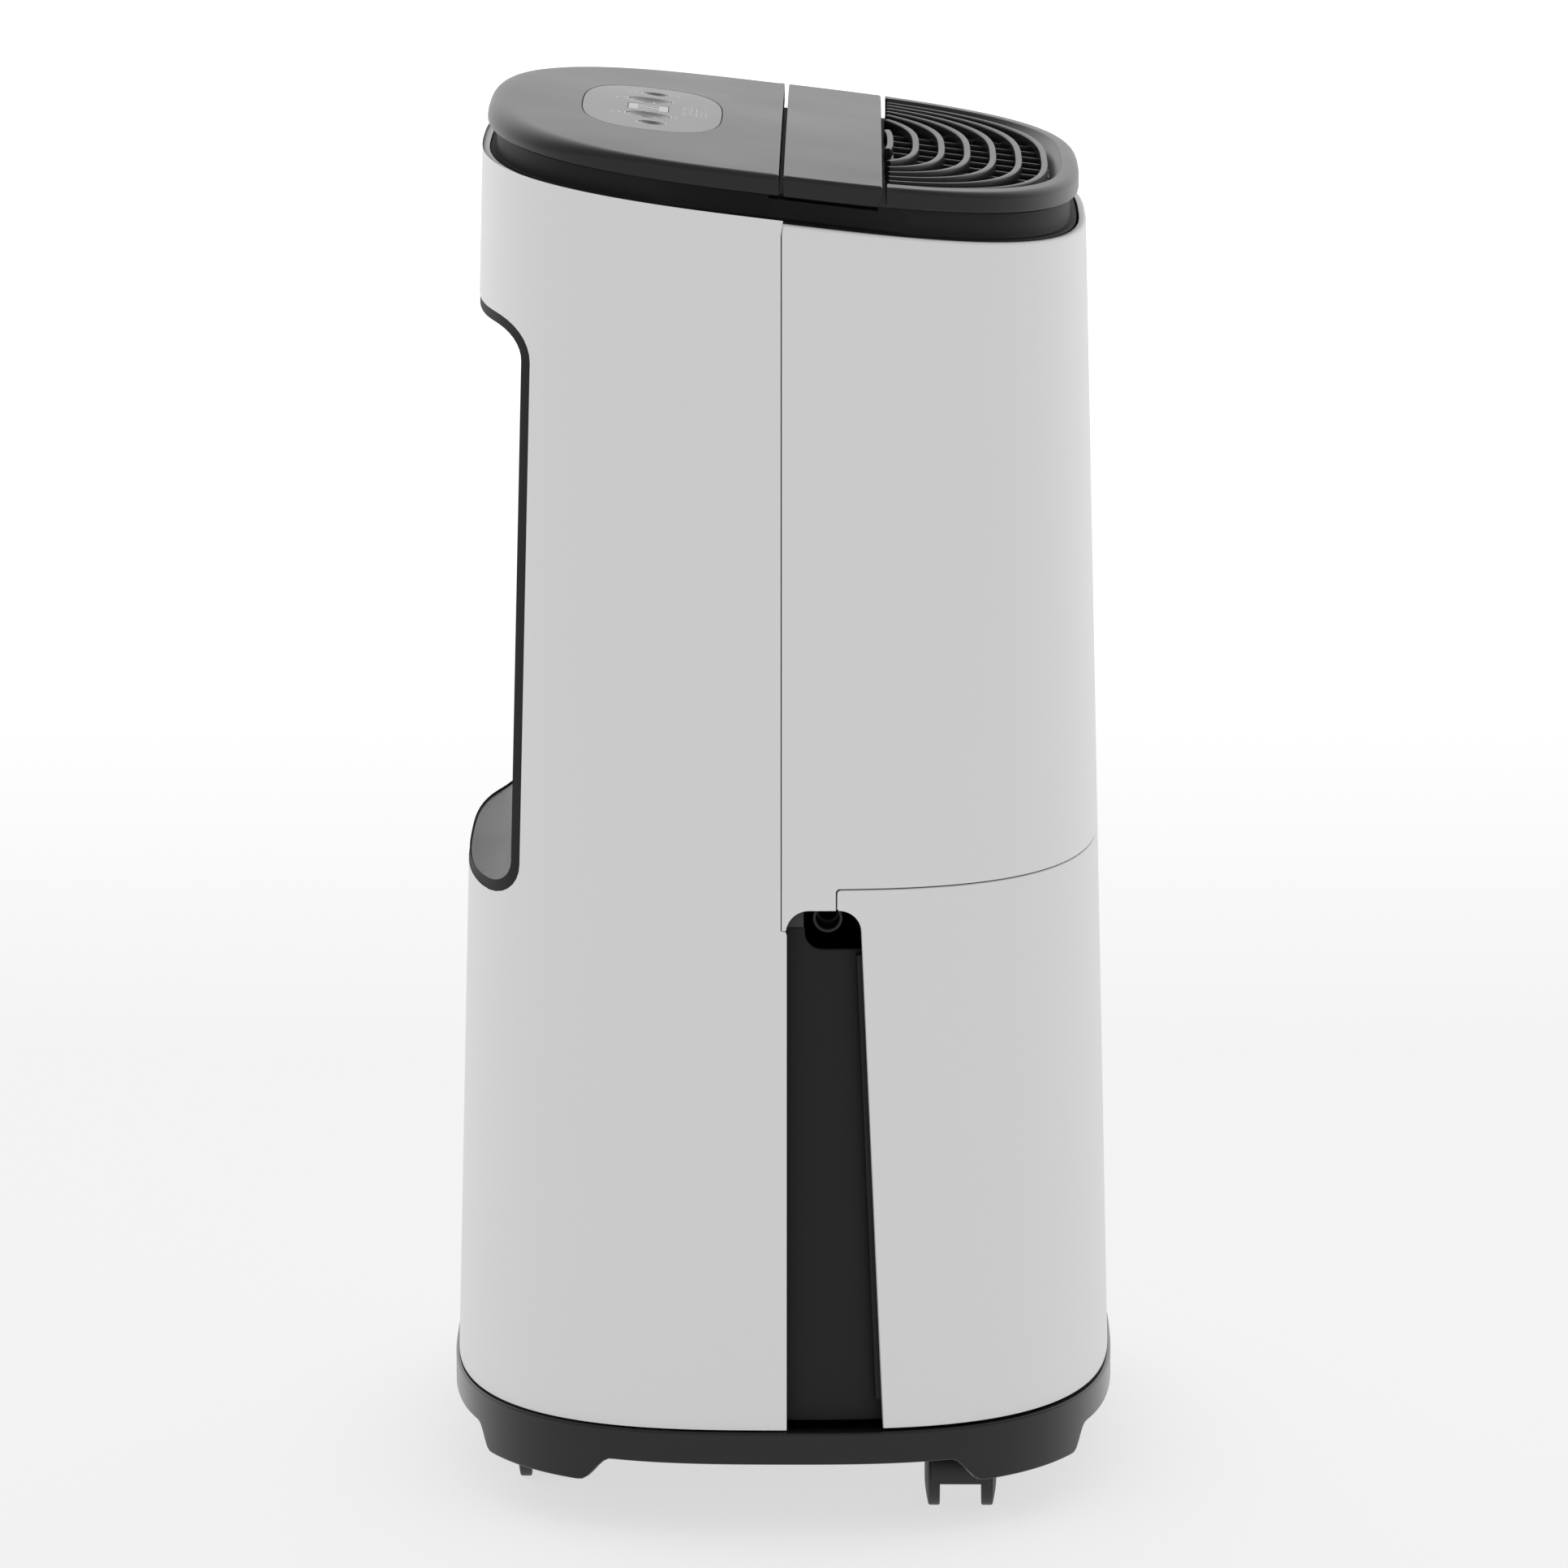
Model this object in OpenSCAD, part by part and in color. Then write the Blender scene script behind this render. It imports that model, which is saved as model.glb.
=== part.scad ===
// Portable compressor dehumidifier on four twin-wheel castors.
// Millimetres. Origin on the floor under the middle of the body, +Z up.
// The front, with the water tank and the air outlet, faces -Y.

/* [Body] */
// Width of the body at the joint with the base
body_w = 288; // [240:1:346]
// Depth of the body at the joint with the base
body_d = 224; // [220:1:269]
// Height of the rim of the body, halfway along its sloping top
rim_h = 439.6; // [400:0.1:528]
// How far each side leans in between the base and the rim
lean_w = 12.8; // [6:0.1:16]
// How far the front and the back lean in between the base and the rim
lean_d = 10; // [5:0.1:13]
// Squareness of the outline: 2 is an ellipse, more is squarer
squareness = 2.88; // [2.6:0.02:3.6]
// Wall of the outer mouldings
shell_wall = 2.5; // [2:0.1:3]
// Slope of the top down towards the front, in degrees
top_tilt = 6.8; // [4:0.1:8]
// Gap between mouldings that meet edge to edge
seam_gap = 0.6; // [0.4:0.1:1]
// Running gap between inner pieces and the walls around them
fit_gap = 0.5; // [0.3:0.1:1]

/* [Base] */
// Height of the joint between the base and the body
base_top = 37.4; // [37:0.1:44]
// How far the base stands out beyond the body
base_proud = 1.1; // [0:0.1:2]
// Open shadow line between the base and the body
base_line = 1; // [0.5:0.1:1.5]
// Depth of the skirt at the middle of each side
skirt_depth = 12; // [9:0.1:13]
// Depth of the skirt at its four corner lobes
lobe_depth = 20.4; // [16:0.1:21]
// Wall of the base moulding
base_wall = 3; // [2.5:0.1:4]
// Distance from the front to the end of a lobe's slope, seen from the side
lobe_in_d = 55; // [50:1:60]
// Distance from the side to the end of a lobe's slope, seen from the front
lobe_in_w = 58; // [50:1:66]
// Length over which the skirt drops to the bottom of a lobe
lobe_blend = 10; // [6:1:14]

/* [Castors] */
// Radius of a castor wheel
wheel_r = 13; // [11:0.1:13.2]
// Width over the treads of a wheel pair
tread_span = 21.8; // [20:0.1:23]
// Width over the domed outer faces of a wheel pair
dome_span = 24.2; // [22:0.1:26]
// Clear gap between the two wheels of a pair
wheel_gap = 14; // [12:0.1:15]
// Distance that the axle trails behind the swivel stem
trail = 5; // [4:0.1:6]
// Radius of a swivel stem
stem_r = 4; // [3:0.1:5]
// Radius of a castor axle
axle_r = 1.5; // [1.2:0.1:2]
// Distance of the front stems in from the side wall beside their wheels
front_stem_in = 23.1; // [22.6:0.1:30]
// Distance of the front stems behind the front of the body
front_stem_back = 51.6; // [48:0.1:58]
// Distance of the rear stems from the middle
rear_stem_x = 68.8; // [62:0.1:72]
// Distance of the rear stems in front of the back of the body
rear_stem_front = 33.5; // [32:0.1:40]

/* [Water tank] */
// Height of the seam above the tank cover, from the base joint
tank_seam = 182; // [170:0.5:190]
// Gap between the body surface and the bucket
bucket_inset = 8; // [7:0.1:10]
// Wall of the bucket
bucket_wall = 2; // [1.6:0.1:2.6]
// Height of the bucket rim below the tank seam
rim_drop = 14; // [13:0.1:16]
// Width of the grip pocket at its top
pocket_w = 24.7; // [20:0.1:28]
// Extra width of the grip pocket at its bottom
pocket_flare = 7.9; // [4:0.1:10]
// Distance of the pocket top below the tank seam
pocket_drop = 7; // [6.6:0.1:9]
// Radius of the upper corners of the pocket
pocket_r = 7.5; // [5:0.1:9]
// Outer radius of the drain spout
spout_r = 5; // [4:0.1:5]
// Bore radius of the drain spout
spout_bore = 3.85; // [3:0.05:3.9]
// Depth of the hose socket in the drain spout
spout_reach = 12; // [9:0.1:16]

/* [Rear recess] */
// Depth of the recess behind the rear face
recess_depth = 20.3; // [17:0.1:22]
// Height of the bottom edge of the recess, from the base joint
recess_low = 170; // [166:0.5:176]
// Height of the top edge of the recess, from the base joint
recess_high = 365.5; // [345:0.5:370]
// Radius of the corners of the recess
recess_r = 13.5; // [10:0.5:16]
// Thickness of the lining of the recess
liner_wall = 3; // [2.5:0.1:4]
// Distance from the side of the grille panel to the edge of the recess
inlet_margin = 8; // [5:0.5:14]
// Thickness of the grille panel
inlet_t = 3; // [2.5:0.1:3]
// Pitch of the upright louvres of the grille
louvre_pitch = 7; // [6:0.5:10]
// Depth of the filter frame
filter_t = 5; // [4:0.1:6]

/* [Lid] */
// Gap in plan from the body rim to the lid, across the width
lid_set_w = 4.2; // [3:0.1:6]
// Gap in plan from the body rim to the lid, front and back
lid_set_d = 2.2; // [1.5:0.1:4]
// Height of the lid surface above the rim of the body
lid_rise = 15.4; // [14:0.1:18]
// Thickness of the lid at its edge
lid_t = 7; // [6:0.1:8]
// Rise of the lid's gentle crown at the middle of its width
lid_crown = 1.45; // [0.5:0.05:2]
// Wall of the lid mouldings
lid_wall = 2.5; // [2:0.1:3]
// Width of the handle bar
handle_w = 32.3; // [28:0.1:36]
// Open gap on each side of the handle bar
handle_gap = 1.5; // [1:0.1:2]
// Height that the handle rises
handle_travel = 38; // [25:1:40]
// Width of a handle leg
leg_w = 14; // [10:0.5:16]
// Thickness of a handle leg
leg_t = 5; // [4:0.1:6]
// Distance of the legs in from the edge of the lid beside them
leg_in = 21.3; // [21:0.1:24]
// Length of leg that stays in its sleeve when the handle is up
leg_hold = 14; // [10:1:20]

/* [Controls] */
// Width of the control panel, across the body
panel_w = 116; // [96:1:120]
// Length of the control panel, front to back
panel_l = 47; // [44:0.5:52]
// Thickness of the control panel
panel_t = 1.2; // [1:0.1:1.5]
// Distance of the panel's middle behind the middle of the body
panel_y = 44.6; // [42:0.1:48]
// Radius of a large button
big_button_r = 7.35; // [6.5:0.05:8]
// Radius of a small button
small_button_r = 4.4; // [3.8:0.05:5]
// Distance of the large buttons from the middle of the panel
big_button_x = 20; // [18:0.1:24]
// Distance of the small buttons from the middle of the panel
small_button_x = 39.5; // [36:0.1:44]
// Travel of a button
button_travel = 0.8; // [0.4:0.1:1]

/* [Air outlet] */
// Pitch of the curved ribs of the outlet grille
rib_pitch = 8.7; // [7:0.1:10]
// Width of a curved rib
rib_w = 2.2; // [1.8:0.1:3]
// Depth of a curved rib
rib_depth = 5; // [4:0.1:6]
// Number of curved ribs
rib_count = 7; // [4:1:7]
// Width of the flat border at the front of the grille
border_d = 5.8; // [4:0.1:8]
// Width of the flat border at the sides of the grille
border_w = 8; // [6:0.1:10]
// Pitch of the straight bars under the ribs
bar_pitch = 15.7; // [12:0.1:20]

/* [Air path] */
// Radius of the fan wheel
fan_r = 60; // [50:1:62]
// Width of the fan wheel
fan_w = 36; // [30:1:38]
// Number of fan blades
fan_blades = 28; // [16:1:32]
// Depth of a coil
coil_d = 20; // [16:1:22]
// Radius of the coil tubes
coil_tube_r = 4; // [3:0.1:4.5]
// Number of tube runs in a coil
coil_runs = 6; // [4:2:6]
// Pitch of the coil fins
fin_pitch = 7.5; // [6:0.5:12]

/* [Compressor] */
// Radius of the compressor shell
compressor_r = 46; // [36:1:47]
// Height of the compressor shell without its domes
compressor_h = 104; // [80:1:110]
// Distance of the compressor from the middle of the width
compressor_x = 40; // [36:1:44]

/* [Hidden] */
$fn = 48;

big = 1400;
outline_points = 96;
white = [0.82, 0.82, 0.82];
lid_grey = [0.42, 0.42, 0.42];
panel_grey = [0.55, 0.55, 0.55];
dark = [0.16, 0.16, 0.16];
black = [0.08, 0.08, 0.08];
mid_grey = [0.5, 0.5, 0.5];
aluminium = [0.75, 0.76, 0.78];
copper = [0.72, 0.42, 0.26];

tank_seam_z = base_top + tank_seam;
pocket_top = tank_seam_z - pocket_drop;
pocket_rear = 1.7;
pocket_tab = 18.5;
rear_strip_top = pocket_top - 7;
bucket_top = tank_seam_z - rim_drop;
lid_top = rim_h + lid_rise;
body_lean = atan(lean_d / (rim_h - base_top));
floor_t = 3;
floor_z = wheel_r * 2 + 3;

// Half width and half depth of the body surface at a height
function half_w(z) = body_w / 2 - lean_w * (z - base_top) / (rim_h - base_top);
function half_d(z) = body_d / 2 - lean_d * (z - base_top) / (rim_h - base_top);
lid_hw = half_w(rim_h) - lid_set_w;
lid_hd = half_d(rim_h) - lid_set_d;
collar_hw = half_w(rim_h) - shell_wall - fit_gap;
collar_hd = half_d(rim_h) - shell_wall - fit_gap;

// A rounded outline with half width hx and half depth hy
function spow(v, p) = sign(v) * pow(abs(v), p);
function outline(hx, hy) = [
    for (i = [0:outline_points - 1])
        let (t = 360 * i / outline_points)
            [hx * spow(cos(t), 2 / squareness), hy * spow(sin(t), 2 / squareness)]
];
// Half width of such an outline at a distance y from its middle
function reach_x(hx, hy, y) = hx * pow(1 - pow(abs(y) / hy, squareness), 1 / squareness);
// Points along an arc
function arc(x, y, r, from, to, steps = 6) = [
    for (i = [0:steps]) let (t = from + (to - from) * i / steps) [x + r * cos(t), y + r * sin(t)]
];

// Solid tapered body, its surface moved in by inset
module body_loft(inset, z0, z1) {
    lower = [for (p = outline(half_w(z0) - inset, half_d(z0) - inset)) [p.x, p.y, z0]];
    upper = [for (p = outline(half_w(z1) - inset, half_d(z1) - inset)) [p.x, p.y, z1]];
    n = outline_points;
    polyhedron(concat(lower, upper), concat(
        [[for (i = [0:n - 1]) i]],
        [[for (i = [0:n - 1]) 2 * n - 1 - i]],
        [for (i = [0:n - 1]) let (j = (i + 1) % n) [i, n + i, n + j, j]]
    ));
}

// Straight-sided plate that follows the rounded outline
module plate(hx, hy, z0, z1) {
    translate([0, 0, z0]) linear_extrude(z1 - z0) polygon(outline(hx, hy));
}

// Everything above or below the sloping plane that crosses the axis at z
module above(z) translate([0, 0, z]) rotate([top_tilt, 0, 0]) translate([-big / 2, -big / 2, 0]) cube(big);
module below(z) translate([0, 0, z]) rotate([top_tilt, 0, 0]) translate([-big / 2, -big / 2, -big]) cube(big);
// Everything between two distances along Y
module between_y(y0, y1) translate([-big / 2, y0, -big / 2]) cube([big, y1 - y0, big]);
module box(x0, x1, y0, y1, z0, z1) translate([x0, y0, z0]) cube([x1 - x0, y1 - y0, z1 - z0]);
module rod(a, b, r) {
    // A round bar from a to b
    d = b - a;
    translate(a) rotate([0, acos(d.z / norm(d)), atan2(d.y, d.x)]) cylinder(h = norm(d), r = r);
}

// Rise of the crown at a distance x from the middle
function crown(x) = lid_crown * (1 - pow(x / lid_hw, 2));
// Everything below the crowned lid surface lowered by depth
module under_crown(depth) {
    steps = 10;
    on_lid() rotate([90, 0, 0]) linear_extrude(big, center = true) polygon(concat(
        [[-lid_hw * 1.2, -big / 2]],
        [for (i = [-steps * 1.2:steps * 1.2]) let (x = lid_hw * i / steps) [x, crown(x) - depth]],
        [[lid_hw * 1.2, -big / 2]]
    ));
}

// Sloping plate of the lid between two depths below its surface
module lid_slab(top, bottom, inset = 0) {
    intersection() {
        plate(lid_hw - inset, lid_hd - inset, lid_top - 60, lid_top + 60);
        above(lid_top - bottom);
        under_crown(top);
    }
}
// Puts its children on the sloping lid surface, with z measured up from it
module on_lid() translate([0, 0, lid_top]) rotate([top_tilt, 0, 0]) children();

// ---------- Base ----------

// Side view of the space under the skirt, wide enough to clear the lobes' tops
module arch(start) {
    drop = lobe_depth - skirt_depth;
    half = concat(
        [for (i = [0:8]) let (t = i / 8)
            [start + lobe_blend * t, -skirt_depth - drop * (1 - cos(180 * t)) / 2]],
        [[start + lobe_blend + 1, -lobe_depth - 5]]
    );
    other = [for (i = [len(half) - 1:-1:0]) [-half[i].x, half[i].y]];
    translate([0, base_top]) polygon(concat(half, other));
}
lobe_start_d = body_d / 2 - lobe_in_d;
lobe_start_w = body_w / 2 - lobe_in_w;
lobe_end_d = body_d / 2 - 13.5;
module lobe_tail() {
    // Cuts the skirt shallow again beyond the lobes, towards the front and the back
    drop = lobe_depth - skirt_depth;
    translate([0, base_top]) polygon(concat(
        [for (i = [0:6]) let (t = i / 6)
            [lobe_end_d + 6 * t, -lobe_depth + drop * (1 - cos(180 * t)) / 2]],
        [[big / 2, -skirt_depth], [big / 2, -lobe_depth - 5], [lobe_end_d - 1, -lobe_depth - 5]]
    ));
}

front_stem_y = body_d / 2 - front_stem_back;
front_stem_x = reach_x(body_w / 2, body_d / 2, front_stem_y + dome_span / 2) - front_stem_in;
rear_stem_y = body_d / 2 - rear_stem_front;
castor_at = [
    [-front_stem_x, -front_stem_y], [front_stem_x, -front_stem_y],
    [-rear_stem_x, rear_stem_y], [rear_stem_x, rear_stem_y]
];
stem_top = floor_z + floor_t + 6;
boss_top = stem_top + 1.5;
runner_top = boss_top + 0.8;
upstand_t = 3;

module base_tray() {
    hw = body_w / 2 + base_proud;
    hd = body_d / 2 + base_proud;
    bolt = base_screw_at;
    color(dark) difference() {
        union() {
            difference() {
                plate(hw, hd, base_top - lobe_depth, base_top - base_line);
                plate(hw - base_wall, hd - base_wall, base_top - lobe_depth - 1, floor_z);
                plate(hw - base_wall, hd - base_wall, floor_z + floor_t, base_top + 1);
                rotate([90, 0, 90]) linear_extrude(big, center = true) arch(lobe_start_d);
                rotate([90, 0, 0]) linear_extrude(big, center = true) arch(lobe_start_w);
                for (side = [0, 1]) mirror([0, side, 0])
                    rotate([90, 0, 90]) linear_extrude(big, center = true) lobe_tail();
            }
            // Upstand that the shells locate on, behind the middle only
            difference() {
                plate(hw - base_wall + 0.1, hd - base_wall + 0.1, floor_z + floor_t - 0.1,
                    base_top - base_line);
                plate(hw - base_wall - upstand_t, hd - base_wall - upstand_t, floor_z, base_top + 1);
            }
            for (p = castor_at) translate([p.x, p.y, floor_z + floor_t - 0.5])
                cylinder(h = boss_top - floor_z - floor_t + 0.5, r = stem_r + 3.5);
            for (p = bolt) translate([p.x, p.y, floor_z + floor_t - 0.5]) cylinder(h = 2.5, r = 5);
            // Runners that the tank slides on
            for (x = [-runner_x, runner_x])
                box(x - 3, x + 3, -body_d / 2 + 22, -6, floor_z + floor_t - 0.5, runner_top);
        }
        for (p = castor_at) translate([p.x, p.y, floor_z - 1])
            cylinder(h = stem_top - floor_z + 1.4, r = stem_r + 0.05);
        for (p = bolt) translate([p.x, p.y, floor_z - 1]) cylinder(h = 9, r = screw_r + 0.2);
        for (p = compressor_foot_at) translate([p.x, p.y, floor_z - 1]) cylinder(h = 9, r = 2.5);
    }
}

// ---------- Castors ----------

module castor(i) {
    // Fork, mudguard and swivel stem of one castor in one moulding
    p = castor_at[i];
    web = wheel_gap / 2 - 0.8;
    guard_half = 9.75;
    color(dark) translate([p.x, p.y, 0]) difference() {
        union() {
            // Web between the wheels
            translate([trail, 0, wheel_r]) rotate([90, 0, 0]) cylinder(h = 2 * web, r = 4.5, center = true);
            box(-4.5, trail + 4.5, -web, web, wheel_r, 2 * wheel_r + 1);
            // Mudguard over the top and down the leading side
            intersection() {
                translate([trail, 0, wheel_r]) rotate([90, 0, 0]) difference() {
                    cylinder(h = 2 * guard_half, r = wheel_r + 2.4, center = true);
                    cylinder(h = 2 * guard_half + 1, r = wheel_r + 0.9, center = true);
                }
                box(trail - 20, trail + 2, -guard_half, guard_half, 4.9, 40);
            }
            box(trail - wheel_r - 1.5, -4, -web, web, 4.9 + 1.5, wheel_r + 6);
            translate([0, 0, 2 * wheel_r]) cylinder(h = floor_z - 2 * wheel_r - 0.4, r = 6.5);
            translate([0, 0, 2 * wheel_r]) cylinder(h = stem_top - 2 * wheel_r, r = stem_r);
        }
        translate([trail, 0, wheel_r]) rotate([90, 0, 0]) cylinder(h = 40, r = axle_r + 0.05, center = true);
    }
}

module wheel_pair(i) {
    p = castor_at[i];
    color(black) translate([p.x + trail, p.y, wheel_r])
        for (side = [0, 1]) mirror([0, side, 0]) rotate([-90, 0, 0]) rotate_extrude() polygon([
            [axle_r, wheel_gap / 2], [wheel_r, wheel_gap / 2], [wheel_r, tread_span / 2 - 0.4],
            [wheel_r - 0.4, tread_span / 2], [wheel_r - 3, tread_span / 2 + 0.6],
            [wheel_r * 0.5, dome_span / 2 - 0.2], [axle_r, dome_span / 2]
        ]);
}

module axle(i) {
    p = castor_at[i];
    color(aluminium) translate([p.x + trail, p.y, wheel_r]) rotate([90, 0, 0])
        cylinder(h = dome_span - 1, r = axle_r, center = true);
}

// ---------- Outer shells ----------

module recess_profile(o, r) {
    // Side view of the recess: u out of the back, v up, shrunk by o on every face
    h = recess_high - recess_low;
    polygon(concat(
        [[90, h / 2 - o]], arc(o + r, h / 2 - o - r, r, 90, 180), arc(o + r, -h / 2 + o + r, r, 180, 270),
        [[90, -h / 2 + o]]
    ));
}
recess_mid = base_top + (recess_low + recess_high) / 2;
recess_y = half_d(recess_mid) - recess_depth;
recess_top_z = base_top + recess_high;
recess_hd = half_d(recess_top_z);
recess_hw = reach_x(half_w(recess_top_z), recess_hd, recess_hd - recess_depth + liner_wall);
inlet_w = 2 * (recess_hw - inlet_margin);
coil_w = inlet_w + 4;
// Puts its children on the recess: x across, y out of the back, z up along its leaning face
module at_recess() translate([0, recess_y, recess_mid]) rotate([body_lean, 0, 0]) children();
module recess_cut(o, r)
    at_recess() rotate([90, 0, 90]) linear_extrude(big, center = true) recess_profile(o, r);

module pocket(extra = 0) {
    // Grip pocket seen from the side: straight at the back, flared at the front, round at the top
    w = pocket_w + extra;
    low = base_top - 20;
    slope = pocket_flare / (pocket_top - base_top);
    front_low = -pocket_rear - w - slope * (pocket_top - low);
    rotate([90, 0, 90]) linear_extrude(big, center = true) polygon(concat(
        [[-pocket_rear + extra, low]],
        arc(-pocket_rear + extra - pocket_r, pocket_top + extra - pocket_r, pocket_r, 0, 90),
        arc(-pocket_rear - w + pocket_r - slope * pocket_r, pocket_top + extra - pocket_r, pocket_r, 90, 180),
        [[front_low, low]]
    ));
}

module body_shell(z0, z1) difference() {
    body_loft(0, z0, z1);
    body_loft(shell_wall, z0 - 1, z1 + 1);
}

module rear_shell() color(white) difference() {
    intersection() {
        body_shell(base_top, rim_h + 40);
        below(rim_h);
        union() {
            between_y(seam_gap / 2, big);
            intersection() {
                between_y(-pocket_rear, big);
                box(-big, big, -big, big, 0, rear_strip_top);
            }
        }
    }
    recess_cut(0, recess_r);
    translate([gland_x, 0, gland_z]) rotate([-90, 0, 0]) cylinder(h = big, r = gland_r + 0.3);
}

module front_shell() color(white) difference() {
    intersection() {
        body_shell(rear_strip_top + 0.3, rim_h + 20);
        below(rim_h);
        union() {
            intersection() {
                between_y(-big, -seam_gap / 2);
                box(-big, big, -big, big, tank_seam_z + seam_gap / 2, big);
            }
            between_y(-pocket_tab + seam_gap / 2, -seam_gap / 2);
        }
    }
    pocket();
}

module recess_liner() color(mid_grey) difference() {
    intersection() {
        difference() {
            recess_cut(0, recess_r);
            recess_cut(liner_wall, recess_r - liner_wall);
        }
        body_loft(0.2, base_top, rim_h);
    }
    hw = inlet_w / 2 + fit_gap;
    at_recess() box(-hw, hw, -20, 40, inlet_low - fit_gap, inlet_high + fit_gap);
}

module cord_gland() color(dark) translate([gland_x, 0, gland_z]) rotate([-90, 0, 0]) difference() {
    union() {
        translate([0, 0, gland_y - 12]) cylinder(h = 14, r = gland_r);
        translate([0, 0, gland_y - 12]) cylinder(h = 3, r = gland_r + 3);
    }
    translate([0, 0, gland_y - 20]) cylinder(h = 40, r = 3.6);
}
gland_x = 60;
gland_z = base_top + 40;
gland_r = 7;
gland_y = reach_x(half_d(gland_z), half_w(gland_z), gland_x + gland_r) - 0.5;

// ---------- Inlet grille and filter ----------

inlet_low = -(recess_high - recess_low) / 2 + liner_wall + 9;
inlet_high = (recess_high - recess_low) / 2 - liner_wall - 9;
inlet_h = inlet_high - inlet_low;

module inlet_grille() color(mid_grey) at_recess() difference() {
    union() {
        difference() {
            box(-inlet_w / 2, inlet_w / 2, 0, inlet_t, inlet_low, inlet_high);
            box(-inlet_w / 2 + 9, inlet_w / 2 - 9, -1, inlet_t + 1, inlet_low + 9, inlet_high - 9);
        }
        for (x = [-inlet_w / 2 + 9 + louvre_pitch / 2 : louvre_pitch : inlet_w / 2 - 9])
            box(x - 1, x + 1, 0.4, inlet_t - 0.2, inlet_low + 8, inlet_high - 8);
        for (z = [inlet_low + inlet_h / 3, inlet_low + inlet_h * 2 / 3])
            box(-inlet_w / 2 + 8, inlet_w / 2 - 8, 0, 1.6, z - 1.5, z + 1.5);
    }
    // Finger catch at the top edge
    translate([0, inlet_t, inlet_high]) rotate([90, 0, 0]) cylinder(h = 1.2, r = 7);
}

module filter_frame() color(dark) at_recess() difference() {
    box(-filter_hw, filter_hw, -filter_t - 0.2, -0.2, filter_low, filter_high);
    for (side = [0, 1]) mirror([side, 0, 0])
        box(1, filter_hw - 4, -filter_t - 1, 1, filter_low + 4, filter_high - 4);
}
filter_hw = inlet_w / 2 - 3;
filter_low = inlet_low + 3;
filter_high = inlet_high - 3;

module filter_mesh() color(black) at_recess() for (side = [0, 1]) mirror([side, 0, 0])
    box(1.1, filter_hw - 4.1, -filter_t / 2 - 0.6, -filter_t / 2 + 0.2, filter_low + 4.1, filter_high - 4.1);

// ---------- Lid and neck ----------

handle_rear = -0.8;
handle_front = handle_rear - handle_w;
grille_rear = handle_front - handle_gap;
housing_front = handle_rear + handle_gap;
leg_y = (handle_rear + handle_front) / 2;
leg_x = reach_x(lid_hw, lid_hd, abs(leg_y) + leg_w / 2) - leg_in;
collar_depth = 30;
collar_deck = 11;
board_w = 126;
board_l = 62;

// Upright bar of the section of a handle leg, grown by g
module leg_bar(g, z0, z1) box(-leg_t / 2 - g, leg_t / 2 + g, -leg_w / 2 - g, leg_w / 2 + g, z0, z1);
leg_gap = 0.4;

module neck_collar() color(dark) difference() {
    union() {
        intersection() {
            plate(lid_hw - 4, lid_hd - 3, lid_top - 70, lid_top + 40);
            above(lid_top - collar_depth);
            below(lid_top - lid_t - 0.3);
        }
        intersection() {
            plate(collar_hw, collar_hd, lid_top - 70, lid_top + 40);
            above(lid_top - collar_depth);
            below(lid_top - lid_rise);
        }
    }
    // Finger scoops along both sides
    for (side = [0, 1]) mirror([side, 0, 0]) on_lid() {
        translate([lid_hw + 4, -70, -lid_t - 4]) rotate([-90, 0, 0]) cylinder(h = 140, r = 12);
        for (y = [-70, 70]) translate([lid_hw + 4, y, -lid_t - 4]) sphere(r = 12);
    }
    // Hollow underside, well inside the scoops
    intersection() {
        plate(lid_hw - 15, lid_hd - 12, lid_top - 80, lid_top + 40);
        below(lid_top - collar_deck);
    }
    // Air passage under the outlet grille
    intersection() {
        plate(lid_hw - 22, lid_hd - 12, lid_top - 80, lid_top + 40);
        between_y(-big, grille_rear - 4);
    }
    // Well for the control board
    well_hw = board_w / 2 + 2;
    well_hl = board_l / 2 + 2;
    translate([0, panel_y, lid_top]) box(-well_hw, well_hw, -well_hl, well_hl, -60, 40);
    // Slots for the legs of the handle
    for (side = [-1, 1]) translate([side * leg_x, leg_y, 0]) leg_bar(leg_gap, 0, big);
    for (p = collar_screw_at) translate([p.x, p.y, lid_top - 60]) cylinder(h = 120, r = screw_r + 0.2);
}
collar_screw_at = [for (y = [12, 62]) for (side = [-1, 1]) [side * (lid_hw - 43), y]];

module control_housing() color(lid_grey) difference() {
    intersection() {
        lid_slab(0, lid_t);
        between_y(housing_front, big);
    }
    // Hollow underside, around the screw posts
    difference() {
        intersection() {
            lid_slab(lid_wall + panel_t, lid_t + 1, lid_wall);
            between_y(housing_front + lid_wall, big);
        }
        for (p = collar_screw_at) translate([p.x, p.y, lid_top - 60]) cylinder(h = 120, r = 4.5);
    }
    for (p = collar_screw_at) translate([p.x, p.y, lid_top + tan(top_tilt) * p.y - lid_t - 5])
        cylinder(h = 9, r = screw_r + 0.05);
    on_lid() {
        translate([0, panel_y, crown(panel_w / 2) - panel_t]) linear_extrude(10) polygon(panel_outline(0.35));
        for (b = buttons) translate([b.x, b.y, -20]) cylinder(h = 40, r = b.z + 0.25);
        display_bar(0, -7, 10);
    }
}

// Outline of the control panel, grown by g
function panel_outline(g) = outline(panel_w / 2 + g, panel_l / 2 + g);
display_w = 15.3;
display_l = 13.8;
display_y = 46;
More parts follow.
